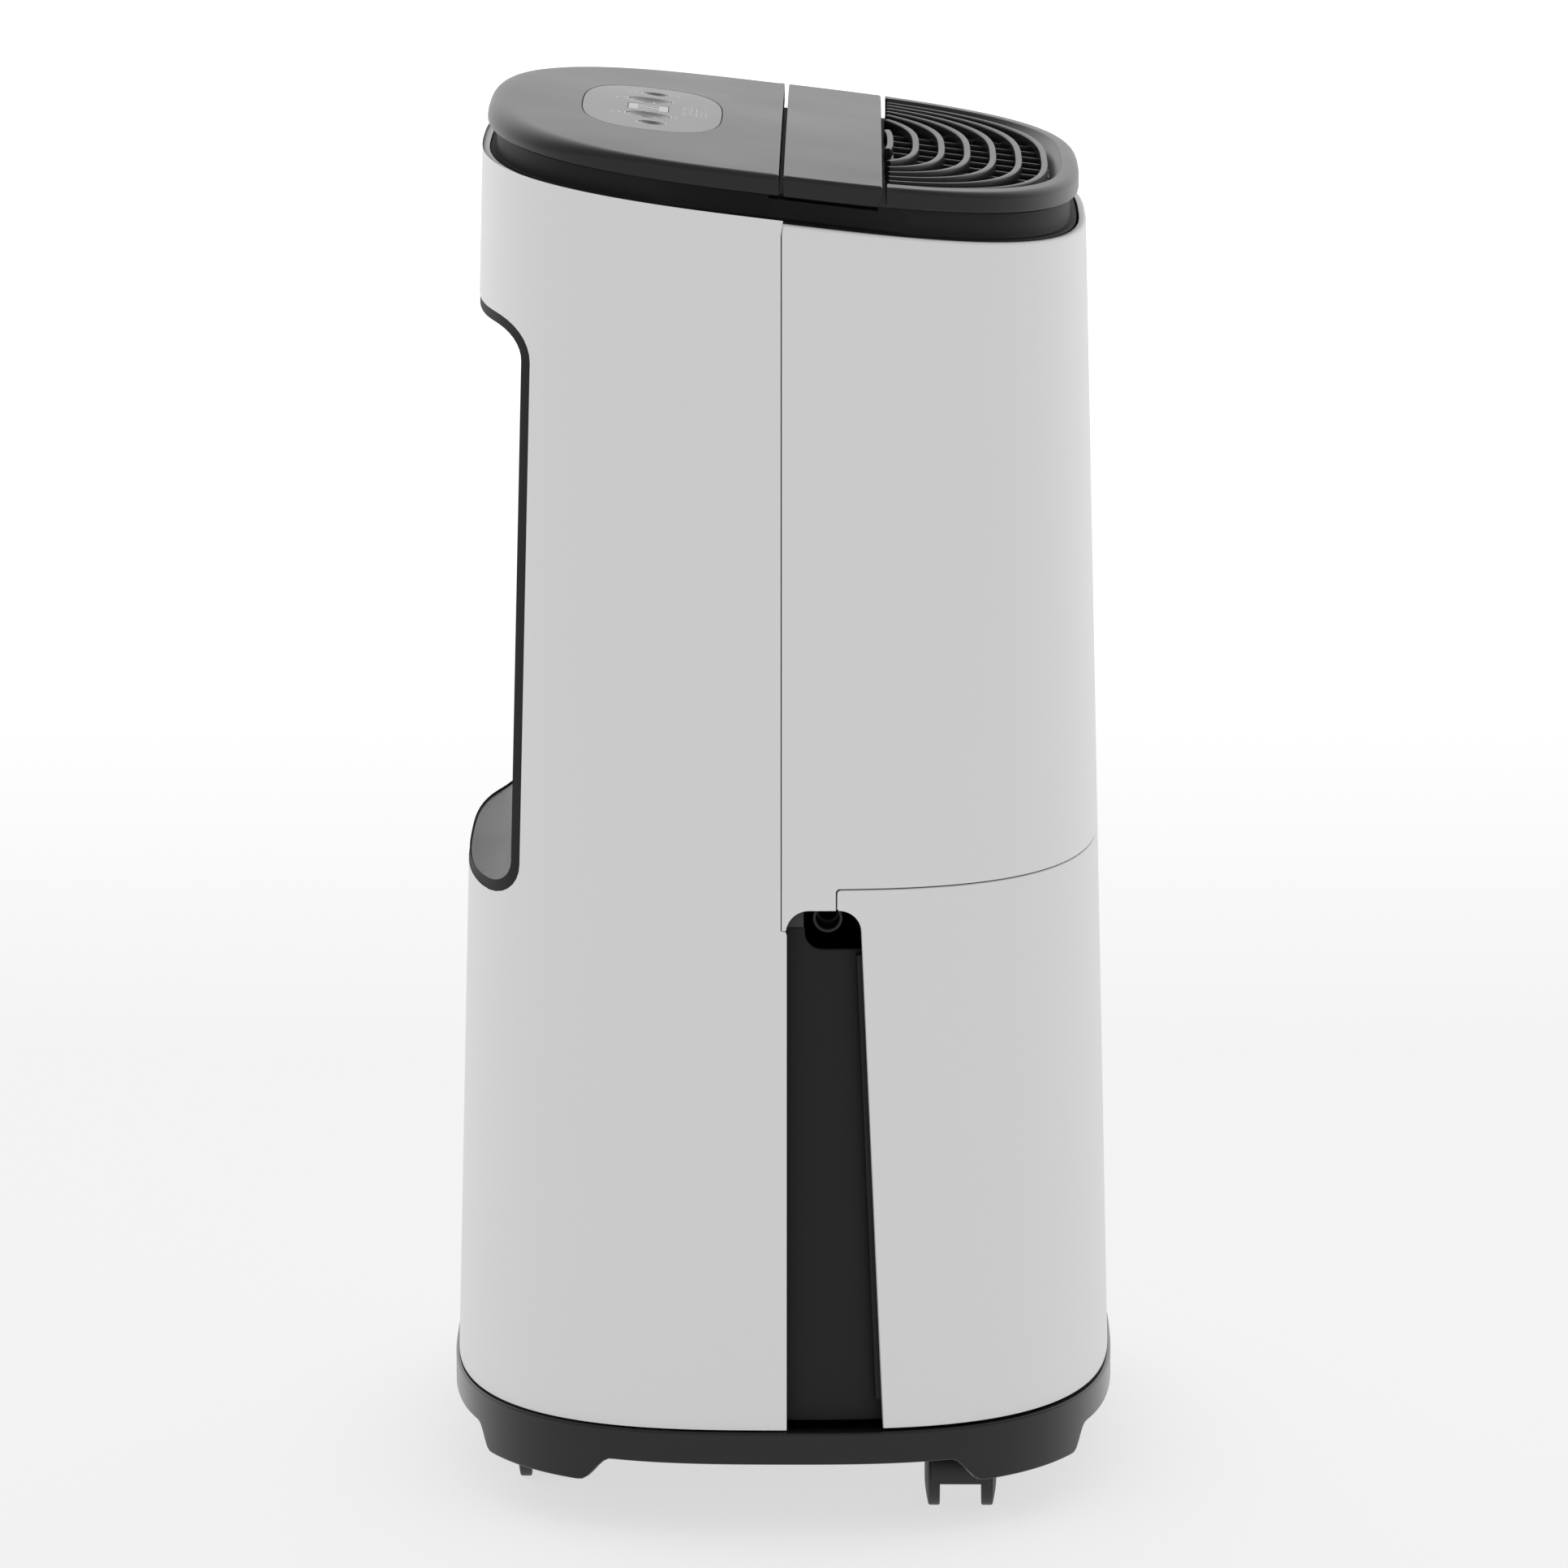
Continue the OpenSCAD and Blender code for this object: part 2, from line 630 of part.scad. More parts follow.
// Bar of the section of the display, shrunk by g
module display_bar(g, z0, z1) translate([0, display_y, 0])
    box(-display_w / 2 + g, display_w / 2 - g, -display_l / 2 + g, display_l / 2 - g, z0, z1);
big_button_y = 45.7;
small_button_y = 44.2;
buttons = [
    [-big_button_x, big_button_y, big_button_r], [big_button_x, big_button_y, big_button_r],
    [-small_button_x, small_button_y, small_button_r], [small_button_x, small_button_y, small_button_r]
];

module control_panel() color(panel_grey) difference() {
    intersection() {
        on_lid() translate([0, panel_y, crown(panel_w / 2) - panel_t]) linear_extrude(10)
            polygon(panel_outline(0));
        under_crown(0);
    }
    on_lid() {
        for (b = buttons) translate([b.x, b.y, -5]) cylinder(h = 10, r = b.z + 0.25);
        display_bar(0, -5, 5);
    }
}

module display_window() color(black) on_lid() display_bar(0.1, -3, lid_crown - 0.05);

board_z = -18;
module button(i) {
    // Cap with a dished top, a collar that keeps it under the lid, and a stem to its switch
    b = buttons[i];
    top = crown(b.x) - 0.1;
    color(lid_grey) on_lid() translate([b.x, b.y, 0]) difference() {
        union() {
            translate([0, 0, -lid_t + 1]) cylinder(h = lid_t - 1 + top, r = b.z);
            translate([0, 0, -lid_t]) cylinder(h = 1.2, r = b.z + 0.9);
            translate([0, 0, board_z + 4.2 + button_travel + 0.2]) cylinder(h = 10, r = 1.8);
        }
        translate([0, 0, top + b.z * 4]) sphere(r = b.z * 4 + 0.5);
    }
}

module control_board() color([0.1, 0.35, 0.2]) on_lid() translate([0, panel_y, board_z])
    box(-board_w / 2, board_w / 2, -board_l / 2, board_l / 2, 0, 1.6);

module button_switches() color(black) on_lid() for (b = buttons) translate([b.x, b.y, board_z + 1.6]) {
    box(-3, 3, -3, 3, 0, 1.8);
    translate([0, 0, 1.7]) cylinder(h = 0.9, r = 1.6);
}

module handle() color(lid_grey) {
    lift = handle_travel + leg_hold;
    difference() {
        intersection() {
            lid_slab(0, lid_t);
            between_y(handle_front, handle_rear);
        }
        // Finger hollow under the bar
        intersection() {
            lid_slab(3.2, lid_t + 1, 26);
            between_y(handle_front + 4, handle_rear - 4);
        }
        // Chamfer along the lower front edge
        on_lid() translate([0, handle_front, -lid_t]) rotate([45, 0, 0]) box(-big, big, -2.6, 2.6, -2.6, 2.6);
    }
    for (side = [-1, 1]) intersection() {
        translate([side * leg_x, leg_y, 0]) leg_bar(0, lid_top - lid_t - lift - 3, lid_top);
        below(lid_top - 2);
    }
}

module handle_sleeves() color(dark) for (side = [-1, 1]) translate([side * leg_x, leg_y, 0]) difference() {
    top = lid_top - collar_deck + tan(top_tilt) * (leg_y - leg_w / 2 - 3) - 0.3;
    low = lid_top - lid_t - handle_travel - leg_hold - 6;
    leg_bar(3, low, top);
    leg_bar(leg_gap, low + 2, top + 1);
}

// ---------- Outlet grille ----------

// Upright band that follows the lid outline between two insets, clipped to the lid's slope
module lid_band(inset_w, inset_d, width, top, bottom) difference() {
    intersection() {
        plate(lid_hw - inset_w, lid_hd - inset_d, lid_top - 60, lid_top + 40);
        above(lid_top - bottom);
        under_crown(top);
        between_y(-big, grille_rear);
    }
    plate(lid_hw - inset_w - width, lid_hd - inset_d - width, lid_top - 70, lid_top + 50);
}

first_rib_w = border_w + 3;
first_rib_d = border_d + 4.7;
module outlet_grille() color(lid_grey) {
    // Flat border, and the bowl wall inside it
    difference() {
        intersection() {
            lid_slab(0, lid_t);
            between_y(-big, grille_rear);
        }
        plate(lid_hw - border_w, lid_hd - border_d, lid_top - 60, lid_top + 60);
    }
    difference() {
        intersection() {
            lid_slab(lid_t - 2, lid_t);
            between_y(-big, grille_rear);
        }
        plate(lid_hw - first_rib_w - 2, lid_hd - first_rib_d - 2, lid_top - 60, lid_top + 60);
    }
    for (i = [0:rib_count - 1])
        lid_band(first_rib_w + i * rib_pitch, first_rib_d + i * rib_pitch, rib_w, 1, 1 + rib_depth);
    // Straight bars under the ribs, and the bar that closes the back
    intersection() {
        lid_slab(lid_t - 2.6, lid_t, 3);
        between_y(-big, grille_rear);
        union() {
            for (x = [-bar_pitch * 7.5 : bar_pitch : bar_pitch * 7.5]) box(x - 0.8, x + 0.8, -big, 0, 0, big);
            between_y(grille_rear - 2.5, grille_rear);
        }
    }
}

// ---------- Inner structure ----------

notch_rear = 7.5;
deck_z = pocket_top + 2;
deck_t = 2.5;
bulkhead_y = 1;
bulkhead_t = 2.5;

module bulkhead() color(dark) intersection() {
    body_loft(base_wall + upstand_t + fit_gap - base_proud, floor_z, deck_z + 5);
    box(-big, big, bulkhead_y, bulkhead_y + bulkhead_t, floor_z + floor_t, deck_z);
}

module deck() color(dark) difference() {
    union() {
        difference() {
            body_loft(shell_wall + 2, deck_z, deck_z + deck_t);
            recess_cut(-fit_gap, recess_r);
        }
        // Lugs that close the top rear corner of each grip pocket
        for (side = [0, 1]) mirror([side, 0, 0]) intersection() {
            body_loft(bucket_inset - 2, bucket_top, deck_z + 1);
            box(half_w(deck_z) - bucket_inset - 4, big, -notch_rear, bulkhead_y - 0.2,
                bucket_top + 0.4, deck_z + 0.5);
        }
    }
    // Way for water into the tank, for pipes and for the float's linkage
    box(-25, 25, -42, -26, deck_z - 1, deck_z + 9);
    for (p = pipe_hole_at) translate([p.x, p.y, deck_z - 1]) cylinder(h = deck_t + 2, r = pipe_r + 2);
    translate([riser_x, spout_y, deck_z - 1]) cylinder(h = deck_t + 2, r = spout_r + 0.3);
}

tray_front = -46;
tray_wall = 2;
tray_h = 11;
coil_back = recess_y - tan(body_lean) * (recess_high - recess_low) / 2 - filter_t - 2.5;
coil_front = coil_back - 2 * coil_d - 2;
tray_z = deck_z + deck_t;
module drip_tray() color(dark) difference() {
    // Shallow tray under the coils with a trough that leads forward to the tank
    hw = coil_w / 2 + 6;
    union() {
        box(-hw, hw, coil_front - 6, coil_back + 2.5, tray_z, tray_z + tray_h);
        box(-28, 28, tray_front, coil_front, tray_z, tray_z + tray_h);
        box(riser_x - 9, -20, spout_y - 9, spout_y + 9, tray_z, tray_z + tray_h);
    }
    box(-hw + tray_wall, hw - tray_wall, coil_front - 4, coil_back + 0.5, tray_z + tray_wall, big);
    box(-26, 26, tray_front + 2, coil_front, tray_z + tray_wall, big);
    box(riser_x - 7, 0, spout_y - 7, spout_y + 7, tray_z + tray_wall, big);
    box(-10, 10, -40, -30, tray_z - 1, big);
    translate([riser_x, spout_y, tray_z - 1]) cylinder(h = 6, r = spout_bore);
}

spout_y = -15.5;
runner_x = 60;
spout_z = pocket_top - spout_bore - 0.35;
spout_tip = half_w(spout_z) - 10;
spout_length = spout_reach + 8;
riser_x = -(spout_tip - spout_length);
module drain_spout() color(dark) difference() {
    // Elbow: a riser through the deck and a spout that points out of the side
    union() {
        translate([riser_x, spout_y, spout_z]) sphere(r = spout_r);
        translate([-spout_tip, spout_y, spout_z]) rotate([0, 90, 0]) cylinder(h = spout_length, r = spout_r);
        translate([riser_x, spout_y, spout_z]) cylinder(h = tray_z - spout_z - 0.05, r = spout_r);
    }
    // Socket for a hose end, and the narrower way behind it
    translate([-spout_tip - 1, spout_y, spout_z]) rotate([0, 90, 0])
        cylinder(h = spout_reach + 1, r = spout_bore);
    translate([-spout_tip, spout_y, spout_z]) rotate([0, 90, 0])
        cylinder(h = spout_length, r = spout_bore - 0.6);
    translate([riser_x, spout_y, spout_z]) cylinder(h = 20, r = spout_bore - 0.6);
}

// ---------- Coils ----------

coil_low = tray_z + tray_wall + 1.5;
coil_high = recess_mid + (recess_high - recess_low) / 2 - 12;
coil_h = coil_high - coil_low;
run_pitch = coil_h / coil_runs;
function run_z(i) = coil_low + run_pitch * (i + 0.5);

module fins(y) color(aluminium) difference() {
    union() {
        for (x = [-coil_w / 2 + 17 : fin_pitch : coil_w / 2 - 17])
            box(x - 0.5, x + 0.5, y, y + coil_d, coil_low, coil_high);
        for (side = [0, 1]) mirror([side, 0, 0])
            box(coil_w / 2 - 15, coil_w / 2 - 13.5, y, y + coil_d, coil_low, coil_high);
        box(-coil_w / 2 + 14, coil_w / 2 - 14, y, y + coil_d, coil_low - 1, coil_low + 0.5);
        box(-coil_w / 2 + 14, coil_w / 2 - 14, y, y + coil_d, coil_high - 0.5, coil_high + 1);
    }
    for (i = [0:coil_runs - 1]) translate([-big / 2, y + coil_d / 2, run_z(i)]) rotate([0, 90, 0])
        cylinder(h = big, r = coil_tube_r + 0.05);
}

module serpentine(y) color(copper) {
    bend_x = coil_w / 2 - 8;
    for (i = [0:coil_runs - 1]) translate([-bend_x, y + coil_d / 2, run_z(i)]) rotate([0, 90, 0])
        cylinder(h = 2 * bend_x, r = coil_tube_r);
    for (i = [0:coil_runs - 2]) for (leg = [0, 1]) {
        // The return bend is squared off, so that it stays short of the shell
        side = i % 2 == 0 ? 1 : -1;
        translate([side * bend_x, y + coil_d / 2, run_z(i + leg)]) sphere(r = coil_tube_r);
        if (leg == 0) translate([side * bend_x, y + coil_d / 2, run_z(i)])
            cylinder(h = run_pitch, r = coil_tube_r);
    }
}
evaporator_y = coil_back - coil_d;
condenser_y = coil_front;
module evaporator_fins() fins(evaporator_y);
module evaporator_tube() serpentine(evaporator_y);
module condenser_fins() fins(condenser_y);
module condenser_tube() serpentine(condenser_y);

// ---------- Fan ----------

fan_z = (tray_z + lid_top) / 2 - 16;
scroll_wall = 2;
scroll_back = -3;
scroll_front = scroll_back - fan_w - 14;
wheel_back = scroll_back - scroll_wall - 4;
wheel_front = wheel_back - fan_w;
shaft_r = 3;
scroll_r0 = fan_r + 7;
scroll_r1 = fan_r + 28;
outlet_h = scroll_r1 - 4;

// Spiral of the fan housing, grown by g, with its outlet pointing up
function scroll(g) = concat(
    [for (a = [70 + g : 10 : 360])
        let (r = scroll_r0 + (scroll_r1 - scroll_r0) * (a - 70) / 290 + g) [r * cos(a), r * sin(a)]],
    [[scroll_r1 + g, 0], [scroll_r1 + g, outlet_h], [scroll_r0 * cos(70) - g, outlet_h]]
);

// Upright way out of the fan housing
module outlet_way(z0, z1) box(scroll_r0 * cos(70), scroll_r1, scroll_front + scroll_wall,
    scroll_back - scroll_wall, z0, z1);

module fan_housing() color(dark) translate([0, 0, fan_z]) difference() {
    depth = scroll_back - scroll_front;
    translate([0, scroll_back, 0]) rotate([90, 0, 0]) linear_extrude(depth) polygon(scroll(scroll_wall));
    translate([0, scroll_back - scroll_wall, 0]) rotate([90, 0, 0])
        linear_extrude(depth - 2 * scroll_wall) polygon(scroll(0));
    outlet_way(outlet_h - 5, outlet_h + 5);
    // Inlet at the back, and the hole for the motor's nose at the front
    translate([0, scroll_back + 5, 0]) rotate([90, 0, 0]) cylinder(h = 12, r = fan_r - 8);
    translate([0, scroll_front + 5, 0]) rotate([90, 0, 0]) cylinder(h = 12, r = 13);
}

module coil_shroud() color(dark) difference() {
    // Box that carries air from the coils to the eye of the fan
    shroud_low = tray_z + 11.3;
    box(-coil_w / 2 + 2, coil_w / 2 - 2, scroll_back + 0.3, condenser_y - 1, shroud_low, coil_high - 4);
    box(-coil_w / 2 + 4, coil_w / 2 - 4, scroll_back + 2.3, condenser_y, shroud_low + 2, coil_high - 6);
    translate([0, 10, fan_z]) rotate([90, 0, 0]) cylinder(h = 40, r = fan_r - 8);
}

duct_low = fan_z + outlet_h + 0.4;
module air_duct() color(dark) difference() {
    // Open box that spreads the air under the whole outlet grille
    x = lid_hw - 53;
    front = lid_hd - 16;
    intersection() {
        box(-x, scroll_r1 + scroll_wall, -front, scroll_back, duct_low, duct_low + 60);
        below(lid_top - collar_depth - 0.4);
        body_loft(shell_wall + fit_gap, deck_z, rim_h);
    }
    box(-x + 2, scroll_r1, -front + 2, scroll_back - 2, duct_low + 2, big);
    outlet_way(duct_low - 5, big);
}

module fan_wheel() color(white) translate([0, 0, fan_z]) {
    difference() {
        union() {
            translate([0, wheel_front, 0]) rotate([-90, 0, 0]) cylinder(h = 2, r = fan_r);
            translate([0, wheel_front, 0]) rotate([-90, 0, 0]) cylinder(h = 20, r = 9);
        }
        translate([0, wheel_front - 5, 0]) rotate([-90, 0, 0]) cylinder(h = 40, r = shaft_r);
    }
    difference() {
        translate([0, wheel_back - 2, 0]) rotate([-90, 0, 0]) cylinder(h = 2, r = fan_r);
        translate([0, wheel_back - 5, 0]) rotate([-90, 0, 0]) cylinder(h = 9, r = fan_r - 10);
    }
    for (i = [0:fan_blades - 1]) rotate([0, 360 * i / fan_blades, 0]) translate([fan_r - 6, 0, 0])
        rotate([0, 35, 0]) box(-5, 4, wheel_front + 1, wheel_back - 1, -0.7, 0.7);
}

module fan_shaft() color(aluminium) translate([0, scroll_front - 30, fan_z]) rotate([-90, 0, 0])
    cylinder(h = wheel_front + 19 - scroll_front + 30, r = shaft_r);

module fan_motor() color(aluminium) translate([0, 0, fan_z]) difference() {
    union() {
        translate([0, scroll_front - 0.2, 0]) rotate([90, 0, 0]) cylinder(h = 30, r = 30);
        translate([0, scroll_front + 2, 0]) rotate([90, 0, 0]) cylinder(h = 10, r = 12);
    }
    translate([0, scroll_front + 5, 0]) rotate([90, 0, 0]) cylinder(h = 50, r = shaft_r + 0.05);
}

// ---------- Compressor and what goes with it ----------

compressor_y = bulkhead_y + bulkhead_t + compressor_r + 3;
mount_h = 12;
compressor_z = floor_z + floor_t + mount_h;
compressor_at = [-compressor_x, compressor_y];
compressor_foot_at = [for (a = [90, 210, 330])
    [compressor_at.x + (compressor_r - 2) * cos(a), compressor_at.y + (compressor_r - 8) * sin(a)]];
pipe_r = 3;
accumulator_at = [compressor_at.x + compressor_r + 24, compressor_y];
accumulator_top = compressor_z + 96;
// The coils' free tube ends and both risers are on the compressor's side
riser_pipe_x = -coil_w / 2 - 14;
condenser_mid = coil_front + coil_d / 2;
evaporator_mid = coil_back - coil_d / 2;
pipe_hole_at = [[riser_pipe_x, condenser_mid], [riser_pipe_x, evaporator_mid]];

module compressor() color(black) difference() {
    union() {
        translate([compressor_at.x, compressor_at.y, compressor_z + 4]) {
            cylinder(h = compressor_h, r = compressor_r);
            translate([0, 0, compressor_h]) cylinder(h = 8, r1 = compressor_r, r2 = compressor_r - 10);
        }
        for (p = compressor_foot_at) translate([p.x, p.y, compressor_z]) cylinder(h = 5, r = 9);
    }
    for (p = compressor_foot_at) translate([p.x, p.y, compressor_z - 1]) cylinder(h = 4, r = 2.6);
}

module compressor_mounts() color(dark) for (p = compressor_foot_at) translate([p.x, p.y, floor_z + floor_t])
    difference() {
        cylinder(h = mount_h, r = 8);
        translate([0, 0, -1]) cylinder(h = mount_h + 2, r = 2.6);
    }

module accumulator() color(black) translate([accumulator_at.x, accumulator_at.y, compressor_z + 12]) {
    cylinder(h = accumulator_top - compressor_z - 12, r = 16);
    sphere(r = 16);
}

// A pipe with round corners at its joints
elbow_wall = 0.5;
module pipe(points) {
    for (i = [0:len(points) - 2]) rod(points[i], points[i + 1], pipe_r);
    // Brazed elbows, a little thicker than the pipe
    for (i = [1:len(points) - 2]) translate(points[i]) sphere(r = pipe_r + elbow_wall);
}

compressor_top = compressor_z + 12 + compressor_h;
module refrigerant_pipes() color(copper) {
    end_x = -coil_w / 2 + 8 - 0.1;
    // The two long pipes cross between the top of the compressor and the deck
    step = (deck_z - compressor_top) / 4;
    over = compressor_top + step;
    // Hot gas from the compressor to the condenser
    pipe([
        [compressor_at.x - 20, condenser_mid, compressor_top + 0.1],
        [compressor_at.x - 20, condenser_mid, over], [riser_pipe_x, condenser_mid, over],
        [riser_pipe_x, condenser_mid, run_z(0)], [end_x, condenser_mid, run_z(0)]
    ]);
    // Cold gas from the evaporator to the accumulator
    pipe([
        [end_x, evaporator_mid, run_z(0)], [riser_pipe_x, evaporator_mid, run_z(0)],
        [riser_pipe_x, evaporator_mid, over + step], [accumulator_at.x, evaporator_mid, over + step],
        [accumulator_at.x, accumulator_at.y, over + step],
        [accumulator_at.x, accumulator_at.y, accumulator_top + 0.1]
    ]);
    // Return from the accumulator into the side of the compressor
    pipe([
        [accumulator_at.x - 16.1, accumulator_at.y, compressor_z + 30],
        [compressor_at.x + compressor_r + 0.1, compressor_at.y, compressor_z + 30]
    ]);
    // Capillary link between the tops of the two coils
    pipe([
        [end_x, condenser_mid, run_z(coil_runs - 1)], [end_x - 8, condenser_mid, run_z(coil_runs - 1)],
        [end_x - 8, evaporator_mid, run_z(coil_runs - 1)], [end_x, evaporator_mid, run_z(coil_runs - 1)]
    ]);
}

capacitor_r = 17;
capacitor_x = body_w / 2 - capacitor_r - 35;
module capacitor() color(white) {
    translate([capacitor_x, 34, floor_z + floor_t]) cylinder(h = 60, r = capacitor_r);
}

module humidity_sensor() color([0.1, 0.35, 0.2])
    box(-12, 12, coil_back - 10, coil_back - 8.4, coil_high + 4, coil_high + 16);

// ---------- Fasteners ----------

screw_r = 1.75;
base_screw_at = [
    for (side = [-1, 1]) [side * (body_w / 2 - 24), 20],
    for (side = [-1, 1]) [side * (body_w / 2 - 40), body_d / 2 - 50],
    [0, body_d / 2 - 11], [0, bulkhead_y + bulkhead_t + 7]
];

module screw(h) {
    // Pan-head screw, head down, its shank pointing up
    difference() {
        union() {
            translate([0, 0, -2.2]) cylinder(h = 2.2, r = 3.6);
            cylinder(h = h, r = screw_r);
        }
        translate([0, 0, -3]) box(-0.5, 0.5, -2, 2, 0, 1.8);
        translate([0, 0, -3]) box(-2, 2, -0.5, 0.5, 0, 1.8);
    }
}
module base_screws() color(aluminium) for (p = base_screw_at) translate([p.x, p.y, floor_z - 0.05]) screw(9);
module collar_screws() color(aluminium) for (p = collar_screw_at)
    translate([p.x, p.y, lid_top - collar_deck + tan(top_tilt) * (p.y - 3.6) - 0.05]) screw(7);

// ---------- Water tank and float ----------

bucket_rear = -1.7;
module tank_bucket() color(dark) difference() {
    bucket_low = runner_top + 0.3;
    intersection() {
        body_loft(bucket_inset, bucket_low, bucket_top);
        between_y(-big, bucket_rear);
    }
    intersection() {
        body_loft(bucket_inset + bucket_wall, bucket_low + bucket_wall, bucket_top + 10);
        between_y(-big, bucket_rear - bucket_wall);
    }
    // Notch in each side, clear of the drain spout
    for (side = [0, 1]) mirror([side, 0, 0])
        translate([half_w(bucket_top) - bucket_inset - 10, 0, bucket_top])
        rotate([90, 0, 90]) linear_extrude(40) polygon(concat(
            [[-notch_rear, 5]], arc(-notch_rear - 6, -1.5, 6, 0, -90), [[-32, -7.5], [-32, 5]]));
    // Lower back wall, so that the bucket clears the spout on its way out
    box(-spout_tip - 1, spout_tip + 1, bucket_rear - bucket_wall - 1, 0, bucket_top - 4, big);
}

module tank_cover() color(white) {
    difference() {
        intersection() {
            body_shell(base_top, tank_seam_z - seam_gap / 2);
            between_y(-big, -pocket_tab - seam_gap / 2);
        }
        pocket();
    }
    // Pads between the cover and the bucket
    intersection() {
        difference() {
            body_loft(shell_wall - 0.5, base_top + 10, bucket_top);
            body_loft(bucket_inset - 0.1, base_top + 9, bucket_top + 1);
        }
        union() for (x = [-70, 70]) for (z = [base_top + 20, bucket_top - 40])
            box(x - 10, x + 10, -big, -60, z, z + 20);
    }
}

float_x = 40;
float_z = bucket_top - 22;
float_pivot_y = bucket_rear - bucket_wall - 7;
float_pin_r = 2;
module float() color(white) difference() {
    // Foam float on a short arm
    union() {
        box(float_x - 20, float_x + 20, float_pivot_y - 44, float_pivot_y - 14, float_z - 10, float_z + 6);
        box(float_x - 5, float_x + 5, float_pivot_y - 15, float_pivot_y, float_z - 3, float_z + 3);
        translate([float_x - 5, float_pivot_y, float_z]) rotate([0, 90, 0]) cylinder(h = 10, r = 4);
    }
    translate([float_x - 30, float_pivot_y, float_z]) rotate([0, 90, 0])
        cylinder(h = 60, r = float_pin_r + 0.05);
}

module float_pin() color(dark) {
    // Pin held by two ears that stand out from the bucket's back wall
    difference() {
        for (x = [float_x - 9, float_x + 6])
            box(x, x + 3, float_pivot_y - 4, bucket_rear - bucket_wall - 0.05, float_z - 4, float_z + 4);
        translate([float_x - 30, float_pivot_y, float_z]) rotate([0, 90, 0])
            cylinder(h = 60, r = float_pin_r);
    }
    translate([float_x - 9, float_pivot_y, float_z]) rotate([0, 90, 0]) cylinder(h = 18, r = float_pin_r);
}

base_tray();
rear_shell();
front_shell();
recess_liner();
neck_collar();
control_housing();
control_panel();
display_window();
control_board();
button_switches();
outlet_grille();
handle_sleeves();
bulkhead();
deck();
drip_tray();
drain_spout();
evaporator_fins();
evaporator_tube();
condenser_fins();
condenser_tube();
coil_shroud();
fan_housing();
air_duct();
fan_motor();
compressor();
compressor_mounts();
accumulator();
refrigerant_pipes();
capacitor();
humidity_sensor();
cord_gland();
base_screws();
collar_screws();
handle();
tank_bucket();
tank_cover();
float();
float_pin();
inlet_grille();
filter_frame();
filter_mesh();
fan_wheel();
fan_shaft();
button(0);  // button_power
button(1);  // button_mode
button(2);  // button_timer
button(3);  // button_fan
castor(0);  // castor_front_left
castor(1);  // castor_front_right
castor(2);  // castor_rear_left
castor(3);  // castor_rear_right
wheel_pair(0);  // wheels_front_left
wheel_pair(1);  // wheels_front_right
wheel_pair(2);  // wheels_rear_left
wheel_pair(3);  // wheels_rear_right
axle(0);  // axle_front_left
axle(1);  // axle_front_right
axle(2);  // axle_rear_left
axle(3);  // axle_rear_right
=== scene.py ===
import math
import bpy
import bmesh
import numpy as np
from mathutils import Matrix, Vector
from mathutils.geometry import delaunay_2d_cdt


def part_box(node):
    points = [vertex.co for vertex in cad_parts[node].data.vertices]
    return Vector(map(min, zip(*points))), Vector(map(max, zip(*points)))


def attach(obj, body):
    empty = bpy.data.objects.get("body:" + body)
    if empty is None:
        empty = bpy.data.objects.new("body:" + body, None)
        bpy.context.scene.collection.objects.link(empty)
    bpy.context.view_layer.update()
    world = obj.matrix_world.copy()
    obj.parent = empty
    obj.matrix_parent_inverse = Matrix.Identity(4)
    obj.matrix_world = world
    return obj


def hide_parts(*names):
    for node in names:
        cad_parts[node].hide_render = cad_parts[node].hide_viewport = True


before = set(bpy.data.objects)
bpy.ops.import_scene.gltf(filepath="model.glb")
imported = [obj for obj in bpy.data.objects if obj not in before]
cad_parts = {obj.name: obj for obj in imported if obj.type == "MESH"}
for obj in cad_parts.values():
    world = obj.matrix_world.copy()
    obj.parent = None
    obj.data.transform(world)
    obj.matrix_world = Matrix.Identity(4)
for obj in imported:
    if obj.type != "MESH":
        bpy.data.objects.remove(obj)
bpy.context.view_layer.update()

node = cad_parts
mm = 0.001


# ---- Studio -------------------------------------------------------------------------------
# A pale sweep under one broad soft sky. The sweep glows with painted light, which fills the body's shadow on it
# and brightens further behind the body. The sky is dimmer where the viewer stands, and brightest over the top and
# at both ends, so dark plastic shows its form by its edges.
scene = bpy.context.scene
scene.view_settings.view_transform = "Standard"

camera_data = bpy.data.cameras.new("camera")
camera_data.sensor_width = 36
camera_data.lens = 216.13
camera_data.clip_end = 100
camera = bpy.data.objects.new("camera", camera_data)
scene.collection.objects.link(camera)
scene.camera = camera
CAMERA_DROP, CAMERA_TURN = 0.1926, 0.0079
camera.location = (-3.177, -0.0251, 0.84775)
ahead = Vector((math.cos(CAMERA_TURN) * math.cos(CAMERA_DROP),
                math.sin(CAMERA_TURN) * math.cos(CAMERA_DROP), -math.sin(CAMERA_DROP)))
to_right = Vector((math.sin(CAMERA_TURN), -math.cos(CAMERA_TURN), 0))
turn = Matrix((to_right, to_right.cross(ahead), -ahead)).transposed()
camera.rotation_mode = "QUATERNION"
camera.rotation_quaternion = turn.to_quaternion()

